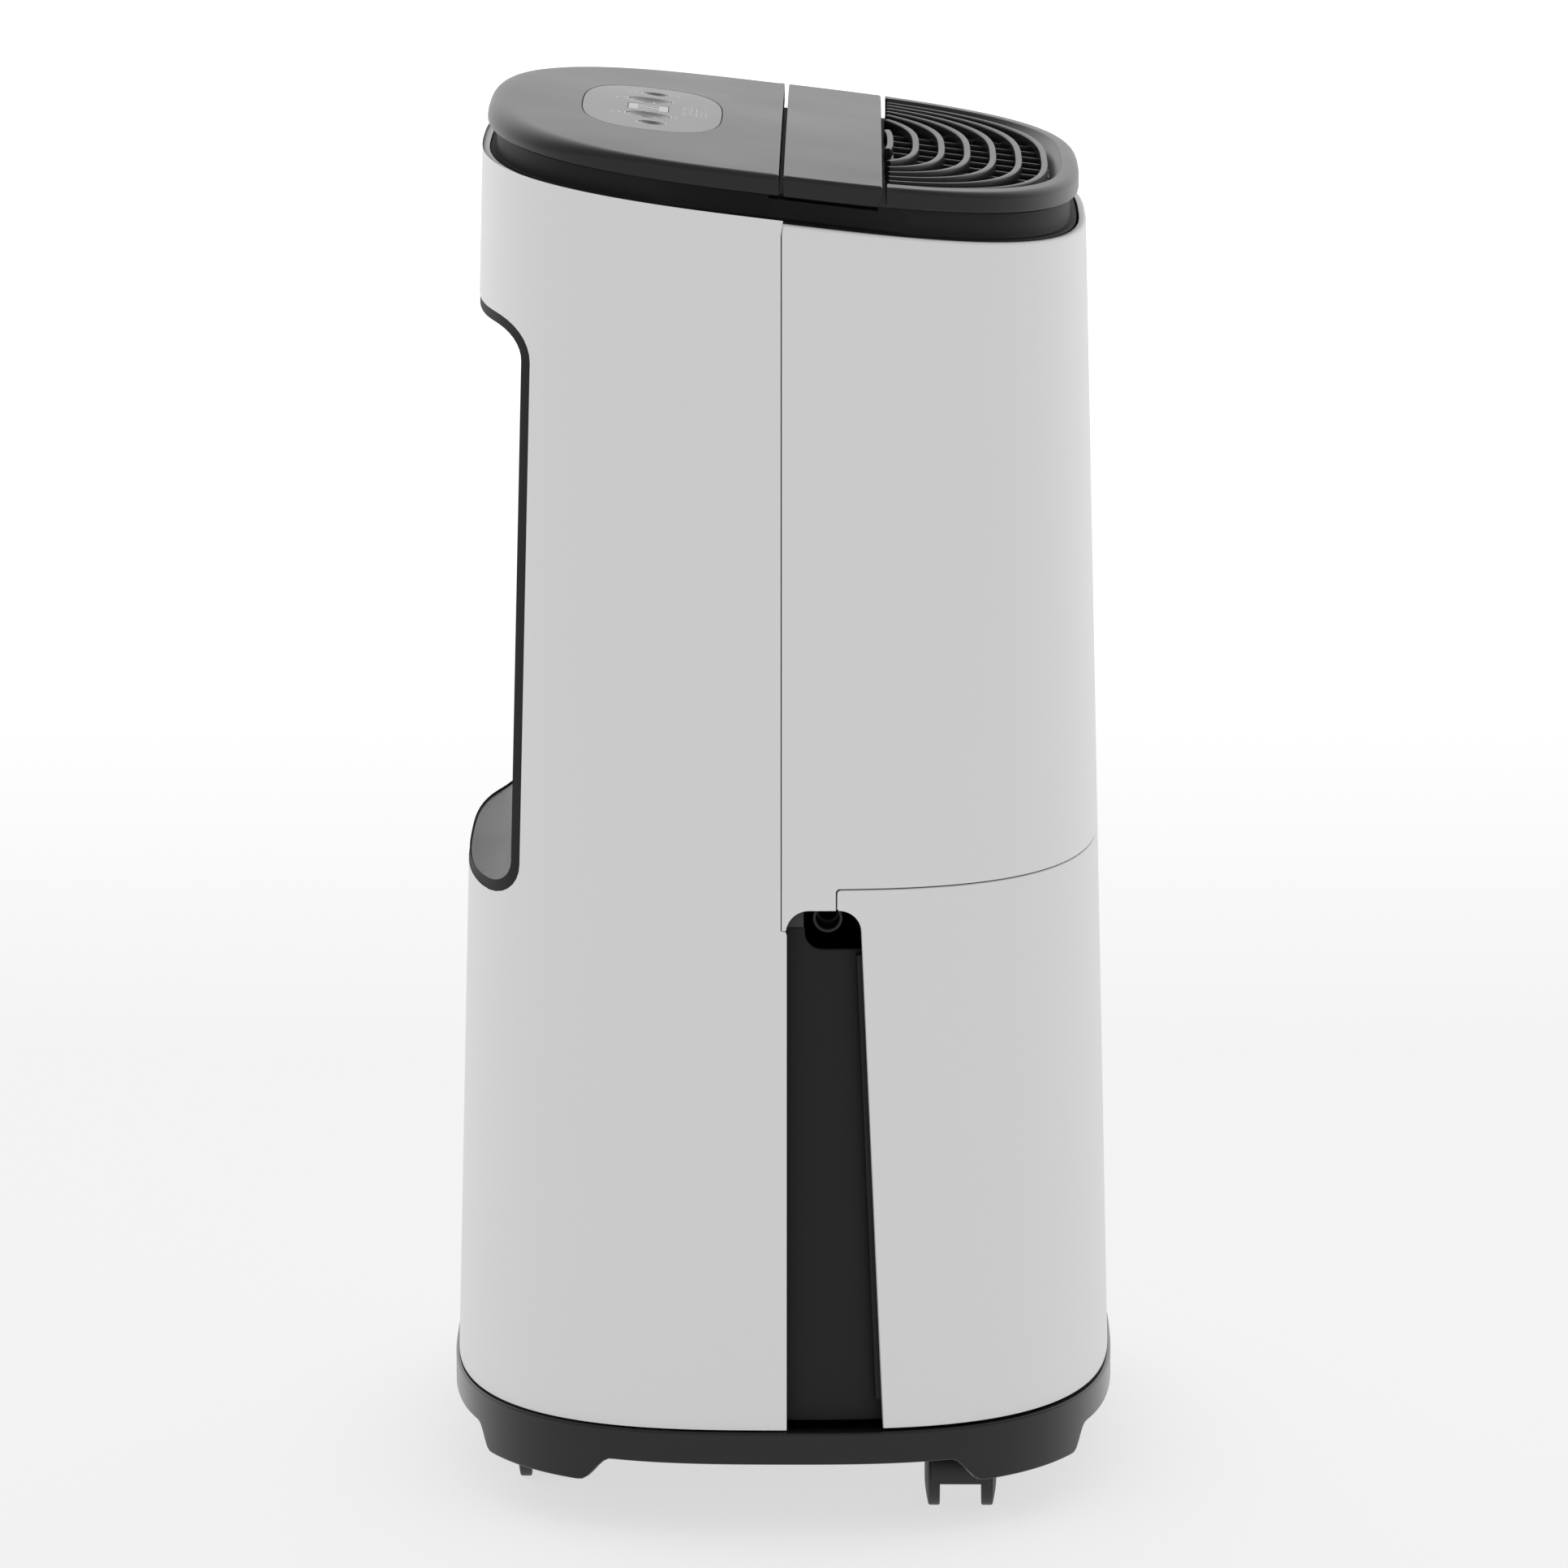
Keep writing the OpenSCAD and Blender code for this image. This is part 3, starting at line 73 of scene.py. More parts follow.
floor_mesh = bpy.data.meshes.new("studio_floor")
floor_mesh.from_pydata([(-8, -12, 0), (20, -12, 0), (20, 12, 0), (-8, 12, 0)], [], [(0, 1, 2, 3)])
studio_floor = bpy.data.objects.new("studio_floor", floor_mesh)
scene.collection.objects.link(studio_floor)
floor_paint = bpy.data.materials.new("studio_floor")
floor_paint.use_nodes = True
floor_shader = floor_paint.node_tree.nodes["Principled BSDF"]
floor_shader.inputs["Base Color"].default_value = (0.36, 0.36, 0.36, 1)
floor_shader.inputs["Roughness"].default_value = 1
floor_shader.inputs["Specular IOR Level"].default_value = 0
floor_shader.inputs["Emission Color"].default_value = (1, 1, 1, 1)
# Painted light: the floor glows at 0.66 near the body, so its cast shadow is filled in, rising to 1.0 from 0.6 m
# to 3 m behind it
floor_way = floor_paint.node_tree.nodes.new("ShaderNodeTexCoord")
floor_split = floor_paint.node_tree.nodes.new("ShaderNodeSeparateXYZ")
floor_glow_ramp = floor_paint.node_tree.nodes.new("ShaderNodeMapRange")
for name, value in (("From Min", 0.6), ("From Max", 3.0), ("To Min", 0.66), ("To Max", 1.0)):
    floor_glow_ramp.inputs[name].default_value = value
floor_paint.node_tree.links.new(floor_way.outputs["Object"], floor_split.inputs[0])
floor_paint.node_tree.links.new(floor_split.outputs["X"], floor_glow_ramp.inputs["Value"])
floor_paint.node_tree.links.new(floor_glow_ramp.outputs["Result"], floor_shader.inputs["Emission Strength"])
floor_mesh.materials.append(floor_paint)

sky = bpy.data.worlds.new("studio_sky")
scene.world = sky
sky.use_nodes = True
sky_nodes, sky_links = sky.node_tree.nodes, sky.node_tree.links
sky_nodes.clear()
sky_way = sky_nodes.new("ShaderNodeTexCoord")
sky_split = sky_nodes.new("ShaderNodeSeparateXYZ")
sky_links.new(sky_way.outputs["Generated"], sky_split.inputs[0])
sky_ramp = sky_nodes.new("ShaderNodeMapRange")
sky_ramp.interpolation_type = "SMOOTHSTEP"
sky_links.new(sky_split.outputs["X"], sky_ramp.inputs["Value"])
for name, value in (("From Min", 0.2), ("From Max", 0.95), ("To Min", 0.70), ("To Max", 1.5)):
    sky_ramp.inputs[name].default_value = value
sky_light = sky_nodes.new("ShaderNodeBackground")
sky_links.new(sky_ramp.outputs["Result"], sky_light.inputs["Strength"])
sky_out = sky_nodes.new("ShaderNodeOutputWorld")
sky_links.new(sky_light.outputs[0], sky_out.inputs[0])


# ---- Base tray ----------------------------------------------------------------------------
# The tray everything stands on: one injection moulding in black polypropylene, with a skirt
# that drops in a lobe at each corner and lets the castors out between the lobes.
SQUARE = 2.88
BASE_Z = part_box("rear_shell")[0].z / mm
FOOT_W, FOOT_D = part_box("rear_shell")[1].x / mm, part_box("rear_shell")[1].y / mm
RIM_Z, LEAN_W, LEAN_D, TILT = 439.6, 12.8, 10.0, math.radians(6.8)


def half_w(z):
    return FOOT_W - LEAN_W * (z - BASE_Z) / (RIM_Z - BASE_Z)


def half_d(z):
    return FOOT_D - LEAN_D * (z - BASE_Z) / (RIM_Z - BASE_Z)


def spow(v, p):
    return np.sign(v) * np.abs(v) ** p


# Way round the oval: u is the length along it in mm from the +X end, counterclockwise
_t = np.linspace(-2 * math.pi, 2 * math.pi, 80001)
_x, _y = FOOT_W * spow(np.cos(_t), 2 / SQUARE), FOOT_D * spow(np.sin(_t), 2 / SQUARE)
_u = np.concatenate([[0], np.cumsum(np.hypot(np.diff(_x), np.diff(_y)))])
_u -= np.interp(0, _t, _u)
ROUND = np.interp(2 * math.pi, _t, _u)


def u_at(y, z, left):
    """Way round to the point at depth y on the +X side, or on the -X side if left."""
    a = np.arcsin(np.clip(np.abs(y) / half_d(z), 0, 1) ** (SQUARE / 2)) * np.sign(y)
    return np.interp(math.pi - a if left else a, _t, _u)


def on_oval(hw, hd, slope_w=0, slope_d=0):
    """Places (way round, height, depth from the surface) on an oval wall of those half sizes."""
    def place(uv, d):
        t = np.interp(uv[:, 0], _u, _t)
        z = uv[:, 1]
        w, h = (hw(z), hd(z)) if callable(hw) else (hw, hd)
        c, s = np.cos(t), np.sin(t)
        x, y = w * spow(c, 2 / SQUARE), h * spow(s, 2 / SQUARE)
        n = np.stack([spow(x / w, SQUARE - 1) / w, spow(y / h, SQUARE - 1) / h,
                      (np.abs(x / w) ** SQUARE * slope_w / w + np.abs(y / h) ** SQUARE * slope_d / h)], 1)
        n /= np.linalg.norm(n, axis=1)[:, None]
        return np.stack([x, y, z], 1) + n * np.asarray(d).reshape(-1, 1)
    return place


def body_wall(inset=0.0):
    lean_w, lean_d = LEAN_W / (RIM_Z - BASE_Z), LEAN_D / (RIM_Z - BASE_Z)
    return on_oval(lambda z: half_w(z) - inset, lambda z: half_d(z) - inset, lean_w, lean_d)


def spaced(points, step, closed=True):
    """The same line with its long stretches cut to about step."""
    p = [np.asarray(q, float) for q in points]
    out = []
    for a, b in zip(p, p[1:] + p[:1] if closed else p[1:]):
        n = max(1, int(round(np.linalg.norm(b - a) / step)))
        out += [a + (b - a) * k / n for k in range(n)]
    return np.array(out if closed else out + [p[-1]])


def arc(x, y, r, start, end, steps=8):
    a = np.radians(np.linspace(start, end, steps + 1))
    return [(x + r * math.cos(k), y + r * math.sin(k)) for k in a]


def inward(loop):
    """For each point of a closed line with its solid on the left, the way into the solid."""
    back, on = loop - np.roll(loop, 1, 0), np.roll(loop, -1, 0) - loop
    back, on = (v / np.maximum(np.linalg.norm(v, axis=1), 1e-9)[:, None] for v in (back, on))
    n1, n2 = np.stack([-back[:, 1], back[:, 0]], 1), np.stack([-on[:, 1], on[:, 0]], 1)
    m = n1 + n2
    m /= np.maximum(np.linalg.norm(m, axis=1), 1e-9)[:, None]
    return m / np.maximum((m * n1).sum(1), 0.6)[:, None]


def inside(points, loops):
    """Which points lie inside the loops, counted across all of them."""
    hit = np.zeros(len(points), bool)
    for loop in loops:
        a, b = loop, np.roll(loop, -1, 0)
        for (x0, y0), (x1, y1) in zip(a, b):
            if y0 != y1:
                span = (points[:, 1] > min(y0, y1)) & (points[:, 1] <= max(y0, y1))
                hit ^= span & (points[:, 0] < x0 + (points[:, 1] - y0) * (x1 - x0) / (y1 - y0))
    return hit


def clear_of(points, loops, gap):
    """Which points are at least gap from every loop."""
    keep = np.ones(len(points), bool)
    for loop in loops:
        for a, b in zip(loop, np.roll(loop, -1, 0)):
            near = keep & (np.abs(points - (a + b) / 2).max(1) < gap + np.linalg.norm(b - a))
            q, ab = points[near], b - a
            k = np.clip(((q - a) @ ab) / max(ab @ ab, 1e-12), 0, 1)
            keep[near] = np.linalg.norm(q - a - k[:, None] * ab, axis=1) >= gap
    return keep


def bowed(loop):
    """The loop with its straight runs bent in by a hair, so that no three points in a row line up."""
    n, out, m = len(loop), loop.copy(), inward(loop)
    back, on = loop - np.roll(loop, 1, 0), np.roll(loop, -1, 0) - loop
    turn_by = back[:, 0] * on[:, 1] - back[:, 1] * on[:, 0]
    size = np.linalg.norm(back, axis=1) * np.linalg.norm(on, axis=1)
    ends = np.nonzero(np.abs(turn_by) > 1e-3 * size)[0]
    for a, b in zip(ends, np.append(ends[1:], ends[:1] + n)):
        k = np.arange(a, b + 1)
        t = (k - a) / max(1, b - a)
        out[k % n] += m[k % n] * (4 * t * (1 - t) * min(0.8, 1.5e-4 * (b - a) ** 2))[:, None]
    return out


def fill(loops, step):
    """Triangles that fill the loops, with a regular grid of points inside them."""
    true, loops = np.concatenate(loops), [bowed(q) for q in loops]
    every = np.concatenate(loops)
    (x0, y0), (x1, y1) = every.min(0), every.max(0)
    gx, gy = np.meshgrid(np.linspace(x0, x1, max(2, int((x1 - x0) / step) + 1)),
                         np.linspace(y0, y1, max(2, int((y1 - y0) / step) + 1)))
    grid = np.stack([gx.ravel(), gy.ravel()], 1)
    grid = grid[inside(grid, loops)]
    grid = grid[clear_of(grid, loops, 0.5 * step)]
    edges, k = [], 0
    for loop in loops:
        edges += [(k + i, k + (i + 1) % len(loop)) for i in range(len(loop))]
        k += len(loop)
    points = np.concatenate([every, grid])
    _, _, faces, came_from, _, _ = delaunay_2d_cdt([Vector(p) for p in points], edges, [], 0, 1e-7)
    back = [o[0] if o else -1 for o in came_from]
    faces = [tuple(back[i] for i in f) for f in faces]
    # Faces that meet across anything but a loop's own edge are one region, kept or dropped whole
    walls, seen, region = {tuple(sorted(e)) for e in edges}, {}, list(range(len(faces)))

    def root(i):
        while region[i] != i:
            region[i] = region[region[i]]
            i = region[i]
        return i

    for k, f in enumerate(faces):
        for i in range(3):
            e = tuple(sorted((f[i], f[(i + 1) % 3])))
            if e not in walls:
                if e in seen:
                    region[root(k)] = root(seen[e])
                seen[e] = k
    tri = points[np.array(faces)]
    ab, ac = tri[:, 1] - tri[:, 0], tri[:, 2] - tri[:, 0]
    area = np.abs(ab[:, 0] * ac[:, 1] - ab[:, 1] * ac[:, 0])
    points[:len(every)] = true
    label = np.array([root(k) for k in range(len(faces))])
    keep = np.zeros(len(faces), bool)
    for r in set(label.tolist()):
        members = np.nonzero(label == r)[0]
        biggest = members[np.argmax(area[members])]
        keep[members] = inside(tri[biggest].mean(0)[None], loops)[0]
    return points, [f for f, k in zip(faces, keep) if k]


def new_object(name, verts, faces, material=None, crease=35):
    """A finished object at the origin from points in mm, its faces outward."""
    mesh = bpy.data.meshes.new(name)
    mesh.from_pydata([tuple(v) for v in np.asarray(verts, float) * mm], [], faces)
    b = bmesh.new()
    b.from_mesh(mesh)
    bmesh.ops.remove_doubles(b, verts=b.verts, dist=1e-6)
    bmesh.ops.recalc_face_normals(b, faces=b.faces)
    b.to_mesh(mesh)
    b.free()
    mesh.shade_smooth()
    mesh.set_sharp_from_angle(angle=math.radians(crease))
    if material:
        mesh.materials.append(material)
    thing = bpy.data.objects.new(name, mesh)
    scene.collection.objects.link(thing)
    return thing


def settle(thing):
    """Turns an object's modifiers into its mesh."""
    bpy.context.view_layer.update()
    mesh = bpy.data.meshes.new_from_object(thing.evaluated_get(bpy.context.evaluated_depsgraph_get()))
    thing.modifiers.clear()
    old, thing.data = thing.data, mesh
    mesh.name = thing.name
    bpy.data.meshes.remove(old)
    return thing


def even_shade(thing):
    """Shades wide faces flat and lets the narrow rounded edges turn the light."""
    m = thing.modifiers.new("even", "WEIGHTED_NORMAL")
    m.keep_sharp = True
    m.weight = 60
    return settle(thing)


def rolled(depth, top, bottom, steps=4):
    """Edge of a moulded wall: round at the face, straight, and round at the back."""
    a = np.radians(np.linspace(0, 90, steps + 1))
    face = [(top * (1 - math.sin(k)), -top * (1 - math.cos(k))) for k in a]
    back = [(bottom * (1 - math.cos(k)), -depth + bottom * (1 - math.sin(k))) for k in a]
    return face + back


def moulding(name, loops, place, edge, material, step=5, back_step=14, crease=50):
    """A plate or wall inside the loops. edge lists (way into the solid, depth) from face to back,
    and may be a function of the points that gives such a list for each."""
    loops = [np.asarray(q, float) for q in loops]
    ways = [inward(q) for q in loops]
    edges = [edge(q) if callable(edge) else edge for q in loops]
    rows = len(edges[0]) if not callable(edge) else edges[0].shape[1]
    def row(k):
        out, depth = [], []
        for q, m, e in zip(loops, ways, edges):
            a, d = (e[:, k, 0], e[:, k, 1]) if callable(edge) else (np.full(len(q), v) for v in e[k])
            out.append(q + m * a[:, None])
            depth.append(d)
        return out, np.concatenate(depth)
    top_loops, top_d = row(0)
    low_loops, low_d = row(rows - 1)
    n = sum(len(q) for q in loops)
    pts, tris = fill(top_loops, step)
    verts = [place(pts, np.concatenate([top_d, np.full(len(pts) - n, top_d[0])]))]
    faces = list(tris)
    base = len(pts)
    last = 0

    def band(low):
        """Faces between two rows of edge points that start at last and at low."""
        start, out = 0, []
        for loop in loops:
            c = len(loop)
            ring = [(start + i, start + (i + 1) % c) for i in range(c)]
            out += [(last + i, last + j, low + j, low + i) for i, j in ring]
            start += c
        return out

    for k in range(1, rows - 1):
        q, d = row(k)
        verts.append(place(np.concatenate(q), d))
        faces += band(base)
        last = base
        base += n
    pts2, tris2 = fill(low_loops, back_step)
    verts.append(place(pts2, np.concatenate([low_d, np.full(len(pts2) - n, low_d[0])])))
    faces += band(base)
    faces += [tuple(base + i for i in reversed(f)) for f in tris2]
    return even_shade(new_object(name, np.concatenate(verts), faces, material, crease))


def socket(tree, name, way, kind, value=None):
    s = tree.interface.new_socket(name=name, in_out=way, socket_type=kind)
    if value is not None:
        s.default_value = value
    return s


# Moulded surface: slow drift of tone, a fine tool texture and a little variation in gloss
moulded = bpy.data.node_groups.new("moulded_skin", "ShaderNodeTree")
socket(moulded, "Colour", "INPUT", "NodeSocketColor", (0.5, 0.5, 0.5, 1))
socket(moulded, "Drift", "INPUT", "NodeSocketFloat", 0.05)
socket(moulded, "Grain", "INPUT", "NodeSocketFloat", 1500)
socket(moulded, "Grain height", "INPUT", "NodeSocketFloat", 0.00002)
socket(moulded, "Roughness", "INPUT", "NodeSocketFloat", 0.4)
socket(moulded, "Colour", "OUTPUT", "NodeSocketColor")
socket(moulded, "Roughness", "OUTPUT", "NodeSocketFloat")
socket(moulded, "Normal", "OUTPUT", "NodeSocketVector")
g, gl = moulded.nodes, moulded.links
g_in, g_out = g.new("NodeGroupInput"), g.new("NodeGroupOutput")
g_way = g.new("ShaderNodeTexCoord")
g_slow = g.new("ShaderNodeTexNoise")
g_slow.inputs["Scale"].default_value = 14
g_slow.inputs["Detail"].default_value = 3
gl.new(g_way.outputs["Object"], g_slow.inputs["Vector"])
g_fine = g.new("ShaderNodeTexNoise")
g_fine.inputs["Detail"].default_value = 2
gl.new(g_way.outputs["Object"], g_fine.inputs["Vector"])
gl.new(g_in.outputs["Grain"], g_fine.inputs["Scale"])
g_mid = g.new("ShaderNodeMath")
g_mid.operation = "SUBTRACT"
g_mid.inputs[1].default_value = 0.5
gl.new(g_slow.outputs["Fac"], g_mid.inputs[0])
g_amount = g.new("ShaderNodeMath")
g_amount.operation = "MULTIPLY"
gl.new(g_mid.outputs[0], g_amount.inputs[0])
gl.new(g_in.outputs["Drift"], g_amount.inputs[1])
g_bright = g.new("ShaderNodeMath")
g_bright.inputs[1].default_value = 1
gl.new(g_amount.outputs[0], g_bright.inputs[0])
g_tint = g.new("ShaderNodeVectorMath")
g_tint.operation = "SCALE"
gl.new(g_in.outputs["Colour"], g_tint.inputs[0])
gl.new(g_bright.outputs[0], g_tint.inputs["Scale"])
gl.new(g_tint.outputs[0], g_out.inputs["Colour"])
g_gloss = g.new("ShaderNodeMath")
g_gloss.operation = "MULTIPLY_ADD"
g_gloss.inputs[1].default_value = 0.12
gl.new(g_mid.outputs[0], g_gloss.inputs[0])
gl.new(g_in.outputs["Roughness"], g_gloss.inputs[2])
gl.new(g_gloss.outputs[0], g_out.inputs["Roughness"])
g_bump = g.new("ShaderNodeBump")
g_bump.inputs["Strength"].default_value = 0.6
gl.new(g_in.outputs["Grain height"], g_bump.inputs["Distance"])
gl.new(g_fine.outputs["Fac"], g_bump.inputs["Height"])
gl.new(g_bump.outputs[0], g_out.inputs["Normal"])


def finish_of(name, colour, rough, drift=0.06, grain=1500, height=0.00002, **sockets):
    """A material whose colour, gloss and texture come from the moulded surface."""
    m = bpy.data.materials.new(name)
    m.use_nodes = True
    tree = m.node_tree
    shader = tree.nodes["Principled BSDF"]
    skin = tree.nodes.new("ShaderNodeGroup")
    skin.node_tree = moulded
    for key, value in (("Colour", (*colour, 1)), ("Drift", drift), ("Grain", grain),
                       ("Grain height", height), ("Roughness", rough)):
        skin.inputs[key].default_value = value
    tree.links.new(skin.outputs["Colour"], shader.inputs["Base Color"])
    tree.links.new(skin.outputs["Roughness"], shader.inputs["Roughness"])
    tree.links.new(skin.outputs["Normal"], shader.inputs["Normal"])
    for key, value in sockets.items():
        shader.inputs[key.replace("_", " ").title().replace("Ior", "IOR")].default_value = value
    return m


def grey(level):
    """A neutral colour."""
    return (level, level, level)


def paint(names, material):
    """Gives the CAD nodes named that finish."""
    for n in names.split():
        data = node[n].data
        data.materials.clear()
        data.materials.append(material)


black_pp = finish_of("black_polypropylene", grey(0.010), 0.24, 0.10, 1400, 0.00002, Specular_IOR_Level=0.36)
SKIRT, LOBE, LOBE_D, LOBE_W, BLEND = 12.0, 20.4, 55.0, 58.0, 10.0
BASE_OUT, BASE_WALL, SEAM = 1.1, 3.0, 1.0
base_w, base_d = FOOT_W + BASE_OUT, FOOT_D + BASE_OUT


def skirt_low(x, y):
    """Depth of the skirt below the seam: shallow along the flats, deep in the lobes."""
    def s_curve(v, start):
        k = np.clip((np.abs(v) - start) / (BLEND + 1.0), 0, 1)
        return (1 - np.cos(math.pi * k)) / 2
    deep = s_curve(y, FOOT_D - LOBE_D) * s_curve(x, FOOT_W - LOBE_W)
    tail = np.clip((np.abs(y) - (FOOT_D - 13.5)) / 6.0, 0, 1)
    deep = deep * (1 + np.cos(math.pi * tail)) / 2
    return SKIRT + (LOBE - SKIRT) * deep


ways = np.arange(0, ROUND, 2.0)
wall = on_oval(base_w, base_d)
ring = wall(np.stack([ways, np.zeros(len(ways))], 1), np.zeros(len(ways)))
low = BASE_Z - skirt_low(ring[:, 0], ring[:, 1])
top = BASE_Z - SEAM
profile = []
for inset, z in ((BASE_WALL + 3.0, top), (0.9, top), (0.45, top - 0.12), (0.12, top - 0.45), (0, top - 0.9),
                 (0, "mid"), (0, 0.7), (0.1, 0.35), (0.35, 0.1), (0.7, 0), (2.3, 0), (2.7, 0.1), (2.9, 0.4),
                 (BASE_WALL, 0.9), (BASE_WALL, "roof")):
    h = np.full(len(ways), z, float) if not isinstance(z, str) and z > 5 else (
        (low + top) / 2 if z == "mid" else np.full(len(ways), 29.0) if z == "roof" else low + z)
    profile.append(wall(np.stack([ways, h], 1), np.full(len(ways), -inset)))
n = len(ways)
verts = np.concatenate(profile + [[[0, 0, 29.0]], [[0, 0, 32.0]]])
faces = [(r * n + i, r * n + (i + 1) % n, (r + 1) * n + (i + 1) % n, (r + 1) * n + i)
         for r in range(len(profile) - 1) for i in range(n)]
k = len(profile) * n
faces += [((len(profile) - 1) * n + i, (len(profile) - 1) * n + (i + 1) % n, k) for i in range(n)]
inner = wall(np.stack([ways, np.full(n, 32.0)], 1), np.full(n, -BASE_WALL - 3.0))
verts = np.concatenate([verts, inner])
faces += [(i, (i + 1) % n, k + 2 + (i + 1) % n, k + 2 + i) for i in range(n)]
faces += [(k + 2 + i, k + 2 + (i + 1) % n, k + 1) for i in range(n)]
base = even_shade(new_object("base_skirt", verts, faces, black_pp, 40))
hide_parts("base_tray")
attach(base, "case")


# ---- Castors ------------------------------------------------------------------------------
# Four twin-wheel castors. Fork, mudguard and stem are one nylon moulding that snaps into the
# tray, and two domed discs turn on a ground steel axle through the fork.
nylon = finish_of("black_nylon", grey(0.008), 0.42, 0.10, 900, 0.00003)
tread = finish_of("moulded_tread", grey(0.016), 0.55, 0.12, 700, 0.00005)
axle_metal = finish_of("ground_axle", (0.50, 0.50, 0.51), 0.30, 0.05, 2600, 0.000004, Metallic=1.0)
TRAIL, WHEEL_R, GAP, TREAD, DOME = 5.0, 13.0, 14.0, 21.8, 24.2
GUARD_W, GUARD_LOW, GUARD_R = 19.5, 4.9, 2.6


def turned(outline, steps=64):
    """A body turned about the Y axis from (radius, place along Y) points, closed at both ends."""
    verts, faces, c = [], [], len(outline)
    for k in range(steps):
        a = 2 * math.pi * k / steps
        verts += [(r * math.cos(a), y, r * math.sin(a)) for r, y in outline]
    for k in range(steps):
        for i in range(c):
            j, m = (i + 1) % c, (k + 1) % steps
            faces.append((k * c + i, k * c + j, m * c + j, m * c + i))
    return verts, faces


def joined(parts):
    """Several (verts, faces) as one."""
    verts, faces = [], []
    for v, f in parts:
        k = len(verts)
        verts += [tuple(p) for p in v]
        faces += [tuple(k + i for i in q) for q in f]
    return verts, faces


def shifted(part, x=0, y=0, z=0, flip_y=False):
    """The part moved by x, y and z, turned front to back first if flip_y."""
    way = -1 if flip_y else 1
    return [(p[0] + x, way * p[1] + y, p[2] + z) for p in part[0]], part[1]


for corner in ("front_left", "front_right", "rear_left", "rear_right"):
    lo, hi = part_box("wheels_" + corner)
    wx, wy = (lo.x + hi.x) / 2 / mm, (lo.y + hi.y) / 2 / mm
    wheel = [(1.55, GAP / 2), (WHEEL_R - 0.5, GAP / 2), (WHEEL_R - 0.15, GAP / 2 + 0.15),
             (WHEEL_R, GAP / 2 + 0.5), (WHEEL_R, TREAD / 2 - 0.6), (WHEEL_R - 0.2, TREAD / 2 - 0.15),
             (WHEEL_R - 0.7, TREAD / 2 + 0.05)]
    for k in range(1, 9):
        r = (WHEEL_R - 0.7) * (1 - k / 8) + 3.2 * k / 8
        bulge = (DOME - TREAD) / 2 * math.sin(math.pi / 2 * k / 8)
        wheel.append((r, TREAD / 2 + 0.05 + bulge - 0.05 * k / 8))
    wheel += [(2.6, DOME / 2 - 0.5), (1.55, DOME / 2 - 0.55)]
    one = turned(wheel)
    both = joined([shifted(one, wx, wy, WHEEL_R), shifted(one, wx, wy, WHEEL_R, flip_y=True)])
    pair = even_shade(new_object("wheels_pair_" + corner, *both, tread, 40))
    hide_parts("wheels_" + corner)
    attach(pair, "wheels_" + corner)

    # Mudguard: a bowed plate ahead of the wheels that runs over their tops, and the fork inside
    sweep = [math.radians(a) for a in range(188, 64, -4)]
    guard_v, guard_f = [], []
    m = len(sweep)
    for k, a in enumerate(sweep):
        z = WHEEL_R + (WHEEL_R + 2.5) * math.sin(a)
        drop = max(0.0, GUARD_LOW + GUARD_R - z)
        half = GUARD_W / 2 - (GUARD_R - math.sqrt(max(0, GUARD_R ** 2 - drop ** 2)) if drop else 0)
        for r, w in ((WHEEL_R + 0.9, half), (WHEEL_R + 2.2, half), (WHEEL_R + 2.5, half - 0.3)):
            guard_v += [(TRAIL + r * math.cos(a), s * w, WHEEL_R + r * math.sin(a)) for s in (-1, 1)]
    six = (0, 2, 4, 5, 3, 1)
    for k in range(m - 1):
        a, b = 6 * k, 6 * (k + 1)
        guard_f += [(a + p, a + q, b + q, b + p) for p, q in zip(six, six[1:] + six[:1])]
    guard_f += [six, tuple(6 * (m - 1) + i for i in six)[::-1]]
    web = arc(0, 0, 4.5, 200, 340, 10) + [(4.5, WHEEL_R + 2), (-4.5, WHEEL_R + 2)]
    web_v = []
    for y in (-6.0, 6.0):
        web_v += [(TRAIL + p[0] * 0.9, y, WHEEL_R + p[1]) for p in web]
    c = len(web)
    web_f = [(i, (i + 1) % c, c + (i + 1) % c, c + i) for i in range(c)]
    web_f += [tuple(range(c)), tuple(range(c, 2 * c))[::-1]]
    stem_v, stem_f = [], []
    stem = [(0, 24), (6.3, 24), (6.5, 24.3), (6.5, 28.2), (4.0, 28.6), (4.0, 37), (3.4, 38), (0, 38)]
    for k in range(32):
        a = 2 * math.pi * k / 32
        stem_v += [(r * math.cos(a), r * math.sin(a), z) for r, z in stem]
    for k in range(32):
        j = (k + 1) % 32
        stem_f += [(8 * k + i, 8 * k + i + 1, 8 * j + i + 1, 8 * j + i) for i in range(7)]
    fork = joined([(guard_v, guard_f), (web_v, web_f), (stem_v, stem_f)])
    hood = even_shade(new_object("castor_hood_" + corner, *shifted(fork, wx - TRAIL, wy, 0), nylon, 40))
    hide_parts("castor_" + corner)
    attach(hood, "castor_" + corner)
    paint("axle_" + corner, axle_metal)


# ---- Compressor and sealed circuit --------------------------------------------------------
# Welded steel pot in black stove enamel on rubber feet, with its suction accumulator and run
# capacitor. Drawn copper pipes are brazed from it to the coils.
enamel = finish_of("stove_enamel", grey(0.012), 0.22, 0.08, 260, 0.00006, Coat_Weight=0.5)
rubber = finish_of("black_rubber", grey(0.02), 0.75, 0.15, 1100, 0.00006)
copper = finish_of("drawn_copper", (0.62, 0.30, 0.18), 0.28, 0.35, 500, 0.00001, Metallic=1.0)
can_white = finish_of("capacitor_can", grey(0.62), 0.30, 0.05, 400, 0.00001)
paint("compressor accumulator", enamel)
paint("compressor_mounts cord_gland", rubber)
paint("evaporator_tube condenser_tube refrigerant_pipes", copper)
paint("capacitor", can_white)


